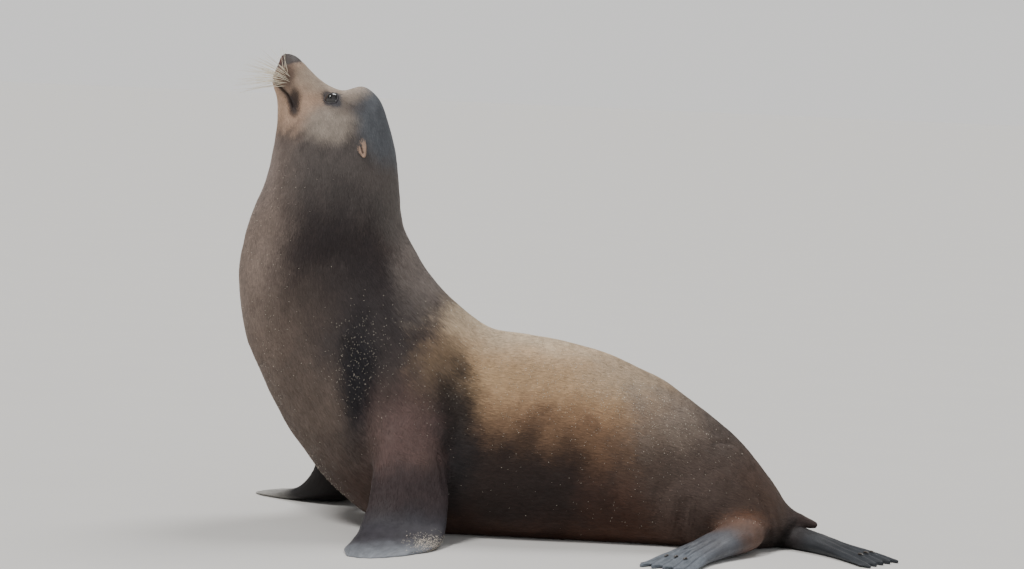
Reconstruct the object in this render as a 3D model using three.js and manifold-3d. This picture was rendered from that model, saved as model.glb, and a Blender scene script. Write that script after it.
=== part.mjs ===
// A bull Galapagos sea lion resting on its belly, chest raised on the fore
// flippers and nose thrown up. Lengths are in millimetres. The animal faces -X,
// its left side faces -Y and +Z is up; the floor it rests on is z = 0.
//
// The body and each limb are smooth lofts through named sections. The floor
// plane cuts them flat where they rest, and thin cuts part them into nodes.
import * as THREE from 'three';
import Module from 'manifold-3d';

const wasm = await Module();
wasm.setup();
const { Manifold, Mesh } = wasm;

// ---------- driving dimensions ----------
const CENTRE = [139, -46];        // plan position of the middle of the finished animal
const GAP = 0.4;                  // clear space between neighbouring pieces
const BODY_SIDES = 24;            // facets round the body
const BODY_STEPS = 2;             // rings from one body section to the next
const LIMB_STEPS = 2;             // rings from one limb section to the next
const SLOPE_STEP = 0.05;          // part of a section step over which a limb's direction is read
const LARGE = 6000;               // size of a block larger than the whole animal

// Body sections from the nose to the root of the tail. `back` and `belly` are
// the [x, z] ends of the section on the middle line, `half` its half-width,
// `widest` how far up from the belly it is widest, `full` how square it is (2 is
// a plain ellipse) and `side` its offset in y.
const BODY = [
  { name: 'nose tip', back: [-587, 1171], belly: [-604, 1155], half: 16, widest: 0.5, full: 2.1, side: 0 },
  { name: 'nose', back: [-577, 1171], belly: [-613, 1130], half: 31, widest: 0.5, full: 2.1, side: 0 },
  { name: 'upper lip', back: [-561, 1165], belly: [-618, 1108], half: 46, widest: 0.4, full: 2.3, side: 0 },
  { name: 'chin', back: [-545, 1152], belly: [-617, 1085], half: 52, widest: 0.44, full: 2.4, side: 0 },
  { name: 'muzzle', back: [-524, 1131], belly: [-610, 1060], half: 54, widest: 0.48, full: 2.4, side: 0 },
  { name: 'mouth corner', back: [-501, 1111], belly: [-607, 1036], half: 58, widest: 0.5, full: 2.45, side: 0 },
  { name: 'stop', back: [-473, 1094], belly: [-606, 1012], half: 64, widest: 0.5, full: 2.6, side: 0 },
  { name: 'brow', back: [-439, 1085], belly: [-606, 991], half: 73, widest: 0.47, full: 2.6, side: 0 },
  { name: 'crest', back: [-391, 1096], belly: [-608, 968], half: 87, widest: 0.44, full: 2.4, side: 0 },
  { name: 'ear', back: [-351, 1067], belly: [-612, 934], half: 105, widest: 0.45, full: 2.3, side: 0 },
  { name: 'occiput', back: [-327, 1015], belly: [-619, 891], half: 122, widest: 0.47, full: 2.25, side: 0 },
  { name: 'nape', back: [-305, 941], belly: [-633, 842], half: 137, widest: 0.49, full: 2.2, side: 0 },
  { name: 'neck', back: [-291, 858], belly: [-656, 780], half: 150, widest: 0.5, full: 2.2, side: 0 },
  { name: 'neck base', back: [-284, 790], belly: [-676, 704], half: 163, widest: 0.5, full: 2.2, side: 0 },
  { name: 'withers front', back: [-272, 740], belly: [-686, 618], half: 180, widest: 0.49, full: 2.2, side: 0 },
  { name: 'withers', back: [-247, 694], belly: [-677, 518], half: 200, widest: 0.47, full: 2.2, side: 0 },
  { name: 'shoulder', back: [-202, 629], belly: [-636, 398], half: 219, widest: 0.46, full: 2.2, side: 0 },
  { name: 'chest', back: [-131, 559], belly: [-534, 218], half: 232, widest: 0.44, full: 2.2, side: 0 },
  { name: 'brisket', back: [-47, 508], belly: [-382, 52], half: 238, widest: 0.42, full: 2.25, side: 0 },
  { name: 'ribs', back: [51, 493], belly: [-205, -22], half: 241, widest: 0.42, full: 2.3, side: 0 },
  { name: 'waist', back: [157, 479], belly: [-24, -34], half: 241, widest: 0.42, full: 2.3, side: 0 },
  { name: 'loin', back: [274, 446], belly: [160, -36], half: 235, widest: 0.42, full: 2.3, side: -4 },
  { name: 'hip', back: [390, 393], belly: [325, -36], half: 223, widest: 0.42, full: 2.3, side: -14 },
  { name: 'croup', back: [496, 327], belly: [476, -34], half: 201, widest: 0.42, full: 2.25, side: -32 },
  { name: 'pelvis', back: [591, 250], belly: [590, -28], half: 167, widest: 0.44, full: 2.2, side: -54 },
  { name: 'rump', back: [663, 169], belly: [668, -14], half: 124, widest: 0.46, full: 2.1, side: -72 },
  { name: 'seat', back: [710, 107], belly: [706, 8], half: 68, widest: 0.5, full: 2.1, side: -84 },
  { name: 'tail root', back: [738, 84], belly: [734, 50], half: 20, widest: 0.5, full: 2.1, side: -91 },
];

// Rounded rises and hollows on the body, in pairs either side of the middle.
// `at` is the middle of the left one, `reach` its spread, `rise` its height.
const SWELLINGS = [
  { name: 'whisker pad', at: [-598, -34, 1106], reach: 27, rise: 9 },
  { name: 'brow ridge', at: [-450, -54, 1090], reach: 20, rise: 5 },
  { name: 'eye hollow', at: [-486, -66, 1066], reach: 20, rise: -4 },
  { name: 'cheek', at: [-490, -74, 1004], reach: 50, rise: 5 },
  { name: 'shoulder muscle', at: [-260, -205, 440], reach: 130, rise: 20 },
  { name: 'hollow behind arm', at: [-60, -232, 260], reach: 75, rise: -14 },
  { name: 'thigh', at: [505, -185, 130], reach: 110, rise: 20 },
];

// Digits: how many lie side by side, how far the skin between two of them falls
// back from the tips, how high each digit stands, how far the middle leads, and
// the facets round the limb.
const FORE_DIGITS = { count: 5, notch: 5, ridge: 0.16, bulge: 56, sides: 22 };
const HIND_DIGITS = { count: 5, notch: 30, ridge: 0.4, bulge: -8, sides: 40 };

// Limb sections from inside the body to the tips of the digits. `front` and
// `rear` are the two edges of the limb there and `thick` its half-thickness.
// `turn` is 1 on the left side and -1 on the right.
const LIMBS = {
  left_fore: {
    turn: 1,
    digits: FORE_DIGITS,
    upper: 'left_forelimb',
    partedAt: 'palm',
    sections: [
      { name: 'shoulder', front: [-312, -120, 400], rear: [-92, -110, 330], thick: 62 },
      { name: 'upper arm', front: [-330, -180, 320], rear: [-112, -168, 268], thick: 62 },
      { name: 'elbow', front: [-330, -226, 240], rear: [-138, -222, 215], thick: 54 },
      { name: 'forearm', front: [-322, -256, 160], rear: [-134, -258, 158], thick: 44 },
      { name: 'wrist', front: [-326, -288, 88], rear: [-130, -286, 96], thick: 36 },
      { name: 'palm', front: [-342, -336, 34], rear: [-134, -322, 42], thick: 28 },
      { name: 'knuckles', front: [-358, -406, 12], rear: [-142, -378, 16], thick: 20 },
      { name: 'digits', front: [-370, -480, 6], rear: [-166, -440, 7], thick: 13 },
      { name: 'tips', front: [-364, -534, 3], rear: [-204, -488, 3], thick: 5 },
    ],
  },
  right_fore: {
    turn: -1,
    digits: FORE_DIGITS,
    upper: 'right_forelimb',
    partedAt: 'palm',
    sections: [
      { name: 'shoulder', front: [-392, 112, 400], rear: [-172, 102, 330], thick: 62 },
      { name: 'upper arm', front: [-442, 166, 300], rear: [-228, 160, 262], thick: 60 },
      { name: 'elbow', front: [-472, 206, 216], rear: [-290, 214, 206], thick: 52 },
      { name: 'forearm', front: [-486, 236, 140], rear: [-308, 252, 148], thick: 43 },
      { name: 'wrist', front: [-502, 262, 76], rear: [-318, 294, 92], thick: 35 },
      { name: 'palm', front: [-540, 300, 32], rear: [-342, 342, 40], thick: 27 },
      { name: 'knuckles', front: [-592, 342, 12], rear: [-384, 398, 16], thick: 19 },
      { name: 'digits', front: [-642, 390, 6], rear: [-434, 456, 7], thick: 12 },
      { name: 'tips', front: [-658, 416, 3], rear: [-486, 488, 3], thick: 5 },
    ],
  },
  left_hind: {
    turn: 1,
    digits: HIND_DIGITS,
    upper: 'left_hind_leg',
    partedAt: 'instep',
    sections: [
      { name: 'shank', front: [556, -80, 84], rear: [640, -62, 78], thick: 46 },
      { name: 'ankle', front: [534, -198, 54], rear: [648, -214, 48], thick: 43 },
      { name: 'heel', front: [518, -262, 42], rear: [616, -298, 38], thick: 37 },
      { name: 'instep', front: [466, -324, 28], rear: [554, -374, 26], thick: 28 },
      { name: 'ball', front: [414, -388, 17], rear: [504, -450, 16], thick: 20 },
      { name: 'digits', front: [364, -452, 8], rear: [470, -530, 8], thick: 14 },
      { name: 'tips', front: [318, -512, 4], rear: [440, -608, 4], thick: 5 },
    ],
  },
  right_hind: {
    turn: -1,
    digits: HIND_DIGITS,
    upper: 'right_hind_leg',
    partedAt: 'instep',
    sections: [
      { name: 'shank', front: [606, 24, 56], rear: [610, -86, 54], thick: 46 },
      { name: 'ankle', front: [678, 2, 38], rear: [664, -122, 36], thick: 38 },
      { name: 'heel', front: [748, -42, 24], rear: [716, -158, 23], thick: 29 },
      { name: 'instep', front: [812, -98, 17], rear: [764, -206, 17], thick: 23 },
      { name: 'ball', front: [868, -158, 12], rear: [806, -264, 12], thick: 17 },
      { name: 'digits', front: [924, -222, 7], rear: [844, -336, 7], thick: 12 },
      { name: 'tips', front: [974, -282, 4], rear: [876, -404, 4], thick: 5 },
    ],
  },
};
const LIMB_FULLNESS = 2.1;

const TAIL = { root: [676, -86, 80], tip: [780, -95, 56], rootRadius: 29, tipRadius: 10, sides: 12 };
const NOSE_CUT = [[-615, 1133], [-549, 1156]];      // [x, z] ends of the cut behind the nose pad
const MOUTH = { front: [-617, 1095], corner: [-559, 1028], throat: [-608, 1018] };
const EYE = { at: [-465, -61.5, 1059], radius: 19.5 };
const EAR = { root: [-392, -103, 966], tip: [-377, -127, 924], width: 25, thick: 6, sides: 12, rows: 6 };
const CLAW = { first: 2, last: 4, section: 'digits', length: 20, radius: 3.4, sides: 8, sink: 1.2 };

// ---------- plain vector work ----------
const add = (a, b) => a.map((v, i) => v + b[i]);
const minus = (a, b) => a.map((v, i) => v - b[i]);
const times = (a, k) => a.map((v) => v * k);
const mix = (a, b, t) => a.map((v, i) => v + (b[i] - v) * t);
const dot = (a, b) => a.reduce((sum, v, i) => sum + v * b[i], 0);
const size = (a) => Math.sqrt(dot(a, a));
const unit = (a) => times(a, 1 / size(a));
const cross = (a, b) => [
  a[1] * b[2] - a[2] * b[1],
  a[2] * b[0] - a[0] * b[2],
  a[0] * b[1] - a[1] * b[0],
];

// Point on the smooth curve through a row of values, at place `t` along it.
function alongCurve(values, t) {
  const last = values.length - 1;
  const i = Math.min(Math.floor(t), last - 1);
  const f = t - i;
  const before = values[Math.max(i - 1, 0)];
  const after = values[Math.min(i + 2, last)];
  const startSlope = times(minus(values[i + 1], before), i > 0 ? 0.5 : 1);
  const endSlope = times(minus(after, values[i]), i + 2 <= last ? 0.5 : 1);
  const f2 = f * f;
  const f3 = f2 * f;
  return values[i].map((v, k) => (2 * f3 - 3 * f2 + 1) * v + (f3 - 2 * f2 + f) * startSlope[k]
    + (3 * f2 - 2 * f3) * values[i + 1][k] + (f3 - f2) * endSlope[k]);
}

// Cosine or sine swollen towards a square, for the outline of a section.
const swollen = (value, fullness) => Math.sign(value) * Math.abs(value) ** (2 / fullness);

// Closed solid through rings of points, with a flat fan over each end.
function solidFromRings(rings) {
  const sides = rings[0].length;
  const points = rings.flat();
  const faces = [];
  for (let r = 0; r < rings.length - 1; r++) {
    for (let s = 0; s < sides; s++) {
      const a = r * sides + s;
      const b = r * sides + ((s + 1) % sides);
      faces.push([a, b, b + sides], [a, b + sides, a + sides]);
    }
  }
  for (const [r, turned] of [[0, true], [rings.length - 1, false]]) {
    const middle = points.length;
    points.push(times(rings[r].reduce(add), 1 / sides));
    for (let s = 0; s < sides; s++) {
      const a = r * sides + s;
      const b = r * sides + ((s + 1) % sides);
      faces.push(turned ? [b, a, middle] : [a, b, middle]);
    }
  }
  return solidFromFaces(points, faces);
}

// Solid from points and triangles, turned outward if it came out inside out.
function solidFromFaces(points, faces) {
  const make = (triangles) => new Manifold(new Mesh({
    numProp: 3,
    vertProperties: new Float32Array(points.flat()),
    triVerts: new Uint32Array(triangles.flat()),
  }));
  const solid = make(faces);
  return solid.volume() > 0 ? solid : make(faces.map(([a, b, c]) => [a, c, b]));
}

// Half-space cut: keep what lies beyond the plane through `point` on the side
// that `normal` points to, less half the gap.
function keepBeyond(solid, normal, point) {
  const n = unit(normal);
  return solid.trimByPlane(n, dot(n, point) + GAP / 2);
}

// ---------- the body ----------
const middleOfBody = (t) => alongCurve(BODY.map((s) => [
  s.back[0], s.back[1], s.belly[0], s.belly[1], s.half, s.widest, s.full, s.side,
]), t);

// Push a point off the middle of its section wherever a swelling reaches it.
function swell(point, outward, side) {
  let rise = 0;
  for (const one of SWELLINGS) {
    for (const mirror of [1, -1]) {
      const middle = [one.at[0], side + one.at[1] * mirror, one.at[2]];
      const away = size(minus(point, middle)) / one.reach;
      rise += one.rise * Math.exp(-away * away);
    }
  }
  return add(point, times(outward, rise));
}

function bodyRing(t, extra) {
  const [bx, bz, vx, vz, half, widest, full, side] = middleOfBody(t);
  const back = [bx, side, bz];
  const belly = [vx, side, vz];
  const up = unit(minus(back, belly));
  const middle = mix(belly, back, widest);
  const above = size(minus(back, belly)) * (1 - widest) + extra;
  const below = size(minus(back, belly)) * widest + extra;
  const ring = [];
  for (let s = 0; s < BODY_SIDES; s++) {
    const angle = (2 * Math.PI * s) / BODY_SIDES;
    const level = swollen(Math.cos(angle), full);
    const across = swollen(Math.sin(angle), full) * (half + extra);
    const lift = level > 0 ? level * above : level * below;
    const point = add(middle, add(times(up, lift), [0, across, 0]));
    ring.push(swell(point, unit(minus(point, middle)), side));
  }
  return ring;
}

function bodySolid(extra) {
  const rings = [];
  for (let i = 0; i <= (BODY.length - 1) * BODY_STEPS; i++) {
    rings.push(bodyRing(i / BODY_STEPS, extra));
  }
  return solidFromRings(rings);
}

// ---------- the limbs ----------
// Where a limb's section lies at place `t`, which way it faces and how big it is.
function limbFrame(limb, t) {
  const rows = limb.sections.map((s) => [...s.front, ...s.rear, s.thick]);
  const middleOf = (row) => mix(row.slice(0, 3), row.slice(3, 6), 0.5);
  const row = alongCurve(rows, t);
  const ahead = alongCurve(rows, Math.min(t + SLOPE_STEP, rows.length - 1));
  const behind = alongCurve(rows, Math.max(t - SLOPE_STEP, 0));
  const chord = minus(row.slice(0, 3), row.slice(3, 6));
  const onward = unit(minus(middleOf(ahead), middleOf(behind)));
  return {
    middle: middleOf(row),
    chord: unit(chord),
    halfChord: size(chord) / 2,
    onward,
    upward: times(unit(cross(chord, onward)), limb.turn),
    thick: row[6],
    spread: Math.max(0, (t - (rows.length - 4)) / 3),
  };
}

// Point on a limb. `across` runs from -1 at the rear edge to 1 at the front, and
// `height` from -1 underneath to 1 on top. Towards the tips the digits stand as
// ridges and reach past the skin between them.
function limbPoint(frame, digits, across, height, extra = 0) {
  const onDigit = -Math.cos(Math.PI * digits.count * (across + 1));
  const ridge = 1 + digits.ridge * frame.spread * onDigit;
  const lift = height * (frame.thick * ridge + extra);
  const reach = digits.bulge * (1 - across * across) + digits.notch * (onDigit - 1) / 2;
  const sideways = times(frame.chord, across * (frame.halfChord + extra));
  const point = add(frame.middle, add(sideways, times(frame.upward, lift)));
  return add(point, times(frame.onward, reach * frame.spread ** 2));
}

function limbSolid(limb, extra = 0) {
  const rings = [];
  for (let i = 0; i <= (limb.sections.length - 1) * LIMB_STEPS; i++) {
    const frame = limbFrame(limb, i / LIMB_STEPS);
    const ring = [];
    for (let s = 0; s < limb.digits.sides; s++) {
      const angle = (2 * Math.PI * s) / limb.digits.sides;
      const across = swollen(Math.cos(angle), LIMB_FULLNESS);
      const height = swollen(Math.sin(angle), LIMB_FULLNESS);
      ring.push(limbPoint(frame, limb.digits, across, height, extra));
    }
    rings.push(ring);
  }
  return solidFromRings(rings);
}

// ---------- small pieces ----------
function tapered(root, tip, rootRadius, tipRadius, sides, rings) {
  const onward = unit(minus(tip, root));
  const sideways = unit(cross(onward, [0, 0, 1]));
  const upward = cross(sideways, onward);
  const list = [];
  for (let r = 0; r <= rings; r++) {
    const t = r / rings;
    const radius = rootRadius + (tipRadius - rootRadius) * t ** 1.4;
    const middle = mix(root, tip, t);
    const ring = [];
    for (let s = 0; s < sides; s++) {
      const angle = (2 * Math.PI * s) / sides;
      const offset = add(times(sideways, Math.cos(angle) * radius), times(upward, Math.sin(angle) * radius));
      ring.push(add(middle, offset));
    }
    list.push(ring);
  }
  return solidFromRings(list);
}

// Ball made of rings, its two poles fanned over.
function ball(centre, radius, sides = 12) {
  const rings = [];
  const rows = sides / 2;
  for (let r = 1; r < rows; r++) {
    const fall = (Math.PI * r) / rows;
    const ring = [];
    for (let s = 0; s < sides; s++) {
      const angle = (2 * Math.PI * s) / sides;
      ring.push(add(centre, [
        radius * Math.sin(fall) * Math.cos(angle),
        radius * Math.sin(fall) * Math.sin(angle),
        radius * Math.cos(fall),
      ]));
    }
    rings.push(ring);
  }
  return solidFromRings(rings);
}

// Leaf-shaped ear: flat sections that widen and then close to the tip.
function earSolid(turn) {
  const root = [EAR.root[0], EAR.root[1] * turn, EAR.root[2]];
  const tip = [EAR.tip[0], EAR.tip[1] * turn, EAR.tip[2]];
  const onward = unit(minus(tip, root));
  const sideways = unit(cross(onward, [0, -turn, 0]));
  const flat = cross(sideways, onward);
  const rings = [];
  for (let r = 0; r <= EAR.rows; r++) {
    const t = r / EAR.rows;
    const leaf = 0.2 + 0.8 * Math.sin(Math.PI * (0.12 + 0.86 * t ** 0.8));
    const halfWidth = (EAR.width * leaf) / 2;
    const halfThick = (EAR.thick * (1 - 0.6 * t)) / 2;
    const ring = [];
    for (let s = 0; s < EAR.sides; s++) {
      const angle = (2 * Math.PI * s) / EAR.sides;
      const offset = add(times(sideways, Math.cos(angle) * halfWidth), times(flat, Math.sin(angle) * halfThick));
      ring.push(add(mix(root, tip, t), offset));
    }
    rings.push(ring);
  }
  return solidFromRings(rings);
}

// Claw on the back of digit `number`, lying along it with its root sunk in.
function clawSolid(limb, number) {
  const t = limb.sections.findIndex((s) => s.name === CLAW.section);
  const frame = limbFrame(limb, t);
  const across = (2 * number - 1) / limb.digits.count - 1;
  const height = (1 - Math.abs(across) ** LIMB_FULLNESS) ** (1 / LIMB_FULLNESS);
  const onTop = limbPoint(frame, limb.digits, across, height);
  const root = add(onTop, times(frame.upward, -CLAW.sink));
  const tip = add(root, add(times(frame.onward, CLAW.length), times(frame.upward, CLAW.sink)));
  return tapered(root, tip, CLAW.radius, CLAW.radius / 3, CLAW.sides, 3);
}

// Plain box centred on the origin, `span` long every way.
function box(span) {
  const h = span / 2;
  const low = [[h, h, -h], [-h, h, -h], [-h, -h, -h], [h, -h, -h]];
  return solidFromRings([low, low.map(([x, y]) => [x, y, h])]);
}

// ---------- put together ----------
const materials = {
  fur_dark: new THREE.MeshStandardMaterial({ color: '#4a403e', roughness: 0.75, metalness: 0 }),
  fur_tan: new THREE.MeshStandardMaterial({ color: '#8a6c55', roughness: 0.75, metalness: 0 }),
  fur_brown: new THREE.MeshStandardMaterial({ color: '#5f4536', roughness: 0.75, metalness: 0 }),
  flipper_skin: new THREE.MeshStandardMaterial({ color: '#41424a', roughness: 0.6, metalness: 0 }),
  nose_skin: new THREE.MeshStandardMaterial({ color: '#1c1a1c', roughness: 0.4, metalness: 0 }),
  eye_wet: new THREE.MeshStandardMaterial({ color: '#15161c', roughness: 0.08, metalness: 0 }),
  claw_horn: new THREE.MeshStandardMaterial({ color: '#2b2422', roughness: 0.45, metalness: 0 }),
};

const group = new THREE.Group();
group.name = 'sea_lion';

// Move a solid to the finished place, cut it at the floor and add it.
function place(name, solid, material) {
  const rested = solid.trimByPlane([0, 0, 1], 0).translate([-CENTRE[0], -CENTRE[1], 0]);
  const parts = rested.decompose().filter((p) => p.volume() > 20);
  const mesh = parts.sort((a, b) => b.volume() - a.volume())[0].getMesh();
  const geometry = new THREE.BufferGeometry();
  geometry.setAttribute('position', new THREE.BufferAttribute(new Float32Array(mesh.vertProperties), 3));
  geometry.setIndex(new THREE.BufferAttribute(new Uint32Array(mesh.triVerts), 1));
  geometry.computeVertexNormals();
  const object = new THREE.Mesh(geometry, material);
  object.name = name;
  group.add(object);
}

// The limbs, each kept clear of the body and parted where the flipper starts.
const wholeBody = bodySolid(0);
const grownBody = bodySolid(GAP).add(bodySolid(GAP).translate([2 * GAP, 0, 0]));
for (const [name, limb] of Object.entries(LIMBS)) {
  const solid = limbSolid(limb).subtract(grownBody);
  const { middle, onward } = limbFrame(limb, limb.sections.findIndex((s) => s.name === limb.partedAt));
  place(limb.upper, keepBeyond(solid, times(onward, -1), middle), materials.fur_brown);
  place(`${name}_flipper`, keepBeyond(solid, onward, middle), materials.flipper_skin);
}

// Claws on the three middle digits of each hind flipper.
for (const name of ['left_hind', 'right_hind']) {
  const grownLimb = limbSolid(LIMBS[name], GAP);
  for (let number = CLAW.first; number <= CLAW.last; number++) {
    const claw = clawSolid(LIMBS[name], number).subtract(grownLimb);
    place(`${name}_claw_${number}`, claw, materials.claw_horn);
  }
}

// The tail, clear of the body and of the flipper it lies on.
const tailWhole = tapered(TAIL.root, TAIL.tip, TAIL.rootRadius, TAIL.tipRadius, TAIL.sides, 6);
place('tail', tailWhole.subtract(grownBody).subtract(limbSolid(LIMBS.right_hind, GAP)), materials.fur_brown);

// Plane in the body's own upright middle plane, through two [x, z] points. It
// faces the side that lies to the left on the way from the first to the second.
function uprightPlane(from, to) {
  return {
    point: [from[0], 0, from[1]],
    normal: unit([from[1] - to[1], 0, to[0] - from[0]]),
  };
}
function partedBy(solid, plane) {
  return [keepBeyond(solid, plane.normal, plane.point), keepBeyond(solid, times(plane.normal, -1), plane.point)];
}

// Everything behind the head, parted across at named sections.
function sectionPlane(name) {
  const { back, belly } = BODY.find((s) => s.name === name);
  return uprightPlane(belly, back);
}
let [head, rest] = partedBy(wholeBody, sectionPlane('occiput'));
for (const [name, from, material] of [
  ['neck', 'withers front', materials.fur_dark],
  ['chest', 'brisket', materials.fur_dark],
  ['trunk', 'hip', materials.fur_tan],
]) {
  const [piece, remainder] = partedBy(rest, sectionPlane(from));
  place(name, piece, material);
  rest = remainder;
}
place('hindquarters', rest, materials.fur_brown);

// The lower jaw lies below the line of the mouth and ahead of its corner.
function jawWedge(inset) {
  const lip = uprightPlane(MOUTH.corner, MOUTH.front);
  const corner = uprightPlane(MOUTH.throat, MOUTH.corner);
  return box(LARGE)
    .trimByPlane(lip.normal, dot(lip.normal, lip.point) + inset)
    .trimByPlane(corner.normal, dot(corner.normal, corner.point) + inset);
}
place('lower_jaw', head.intersect(jawWedge(GAP / 2)), materials.fur_tan);
head = head.subtract(jawWedge(-GAP / 2));

// Nose pad, muzzle and head, with sockets for the eyes.
const [snout, skull] = partedBy(head, sectionPlane('mouth corner'));
const [nose, muzzle] = partedBy(snout, uprightPlane(...NOSE_CUT));
const eyeAt = (turn) => [EYE.at[0], EYE.at[1] * turn, EYE.at[2]];
place('nose', nose, materials.nose_skin);
place('muzzle', muzzle, materials.fur_tan);
const sockets = [1, -1].map((turn) => ball(eyeAt(turn), EYE.radius + GAP));
place('head', skull.subtract(sockets[0]).subtract(sockets[1]), materials.fur_dark);
for (const [side, turn] of [['left', 1], ['right', -1]]) {
  place(`${side}_eye`, ball(eyeAt(turn), EYE.radius), materials.eye_wet);
  place(`${side}_ear`, earSolid(turn).subtract(grownBody), materials.fur_tan);
}

export default group;
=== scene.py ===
"""The looks of a bull sea lion resting with its head thrown up.

Shapes are worked out in the same lengths and directions as the solids: the
animal faces -X, its left side faces -Y, +Z is up. Section tables are in
millimetres, as in the solids, and everything else is in metres. `CENTRE` moves
the finished shapes to the frame's own origin.
"""
import math

import bmesh
import bpy
import numpy as np
from mathutils import Matrix, Vector
from mathutils.bvhtree import BVHTree
from mathutils.kdtree import KDTree


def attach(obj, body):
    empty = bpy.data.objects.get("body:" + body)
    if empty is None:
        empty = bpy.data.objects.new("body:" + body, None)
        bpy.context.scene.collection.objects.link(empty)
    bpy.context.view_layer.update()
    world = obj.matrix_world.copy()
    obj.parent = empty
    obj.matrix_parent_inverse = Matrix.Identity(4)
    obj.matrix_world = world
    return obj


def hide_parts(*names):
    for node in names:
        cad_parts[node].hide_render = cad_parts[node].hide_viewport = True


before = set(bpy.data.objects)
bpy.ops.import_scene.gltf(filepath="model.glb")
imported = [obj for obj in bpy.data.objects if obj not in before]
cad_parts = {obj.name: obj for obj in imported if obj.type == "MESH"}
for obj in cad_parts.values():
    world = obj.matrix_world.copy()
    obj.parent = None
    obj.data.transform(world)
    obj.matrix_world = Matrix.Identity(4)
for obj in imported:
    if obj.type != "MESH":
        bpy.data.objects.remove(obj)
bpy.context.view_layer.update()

MM = 0.001
CENTRE = np.array([0.139, -0.046, 0.0])
SEED = 7

BOTH, LEFT = (1, -1), (1,)    # the sides of the animal: 1 is its left, -1 its right
FORE, HIND, EARS = ("left_fore", "right_fore"), ("left_hind", "right_hind"), ("left_ear", "right_ear")

# ---------- camera ----------
CAMERA_DISTANCE = 7.39       # from the animal's middle plane
CAMERA_HEIGHT = 1.109
CAMERA_PITCH = math.radians(-3.81)
CAMERA_ROLL = math.radians(2.5)
LENS_MM = 103.7


def in_scene(name, data):
    """A new object in the scene."""
    thing = bpy.data.objects.new(name, data)
    bpy.context.scene.collection.objects.link(thing)
    return thing


def make_camera():
    """The camera of the photo, level with the animal's left side."""
    data = bpy.data.cameras.new("camera")
    data.lens = LENS_MM
    data.sensor_width = 36.0
    camera = in_scene("camera", data)
    look = Matrix.Rotation(math.pi / 2 + CAMERA_PITCH, 4, "X")
    roll = Matrix.Rotation(CAMERA_ROLL, 4, "Z")
    place = Vector((-CENTRE[0], -CAMERA_DISTANCE - CENTRE[1], CAMERA_HEIGHT))
    camera.matrix_world = Matrix.Translation(place) @ look @ roll
    bpy.context.scene.camera = camera


make_camera()

# ---------- the same named sections as the solids, in millimetres ----------
# back x, back z, belly x, belly z, half-width, widest, full, side
BODY = {
    "nose tip": (-587, 1171, -604, 1155, 16, 0.5, 2.1, 0),
    "nose": (-577, 1171, -613, 1130, 31, 0.5, 2.1, 0),
    "upper lip": (-561, 1165, -618, 1108, 46, 0.4, 2.3, 0),
    "chin": (-545, 1152, -617, 1085, 52, 0.44, 2.4, 0),
    "muzzle": (-524, 1131, -610, 1060, 54, 0.48, 2.4, 0),
    "mouth corner": (-501, 1111, -607, 1036, 58, 0.5, 2.45, 0),
    "stop": (-473, 1094, -606, 1012, 64, 0.5, 2.6, 0),
    "brow": (-439, 1085, -606, 991, 73, 0.47, 2.6, 0),
    "crest": (-391, 1096, -608, 968, 87, 0.44, 2.4, 0),
    "ear": (-351, 1067, -612, 934, 105, 0.45, 2.3, 0),
    "occiput": (-327, 1015, -619, 891, 122, 0.47, 2.25, 0),
    "nape": (-305, 941, -633, 842, 137, 0.49, 2.2, 0),
    "neck": (-291, 858, -656, 780, 150, 0.5, 2.2, 0),
    "neck base": (-284, 790, -676, 704, 163, 0.5, 2.2, 0),
    "withers front": (-272, 740, -686, 618, 180, 0.49, 2.2, 0),
    "withers": (-247, 694, -677, 518, 200, 0.47, 2.2, 0),
    "shoulder": (-202, 629, -636, 398, 219, 0.46, 2.2, 0),
    "chest": (-131, 559, -534, 218, 232, 0.44, 2.2, 0),
    "brisket": (-47, 508, -382, 52, 238, 0.42, 2.25, 0),
    "ribs": (51, 493, -205, -22, 241, 0.42, 2.3, 0),
    "waist": (157, 479, -24, -34, 241, 0.42, 2.3, 0),
    "loin": (274, 446, 160, -36, 235, 0.42, 2.3, -4),
    "hip": (390, 393, 325, -36, 223, 0.42, 2.3, -14),
    "croup": (496, 327, 476, -34, 201, 0.42, 2.25, -32),
    "pelvis": (591, 250, 590, -28, 167, 0.44, 2.2, -54),
    "rump": (663, 169, 668, -14, 124, 0.46, 2.1, -72),
    "seat": (710, 107, 706, 8, 68, 0.5, 2.1, -84),
    "tail root": (738, 84, 734, 50, 20, 0.5, 2.1, -91),
}
BODY_NAMES = list(BODY)
BODY_ROWS = np.array(list(BODY.values()), float)

# Rounded rises and hollows, in pairs: middle of the left one, reach, rise.
SWELLINGS = (
    ((-598, -34, 1106), 27, 9),  # whisker pad
    ((-450, -54, 1090), 20, 5),  # brow ridge
    ((-486, -66, 1066), 20, -4),  # eye hollow
    ((-490, -74, 1004), 50, 5),  # cheek
    ((-260, -205, 440), 130, 20),  # shoulder muscle
    ((-60, -232, 260), 75, -14),  # hollow behind the arm
    ((505, -185, 130), 110, 20),  # thigh
)

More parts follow.
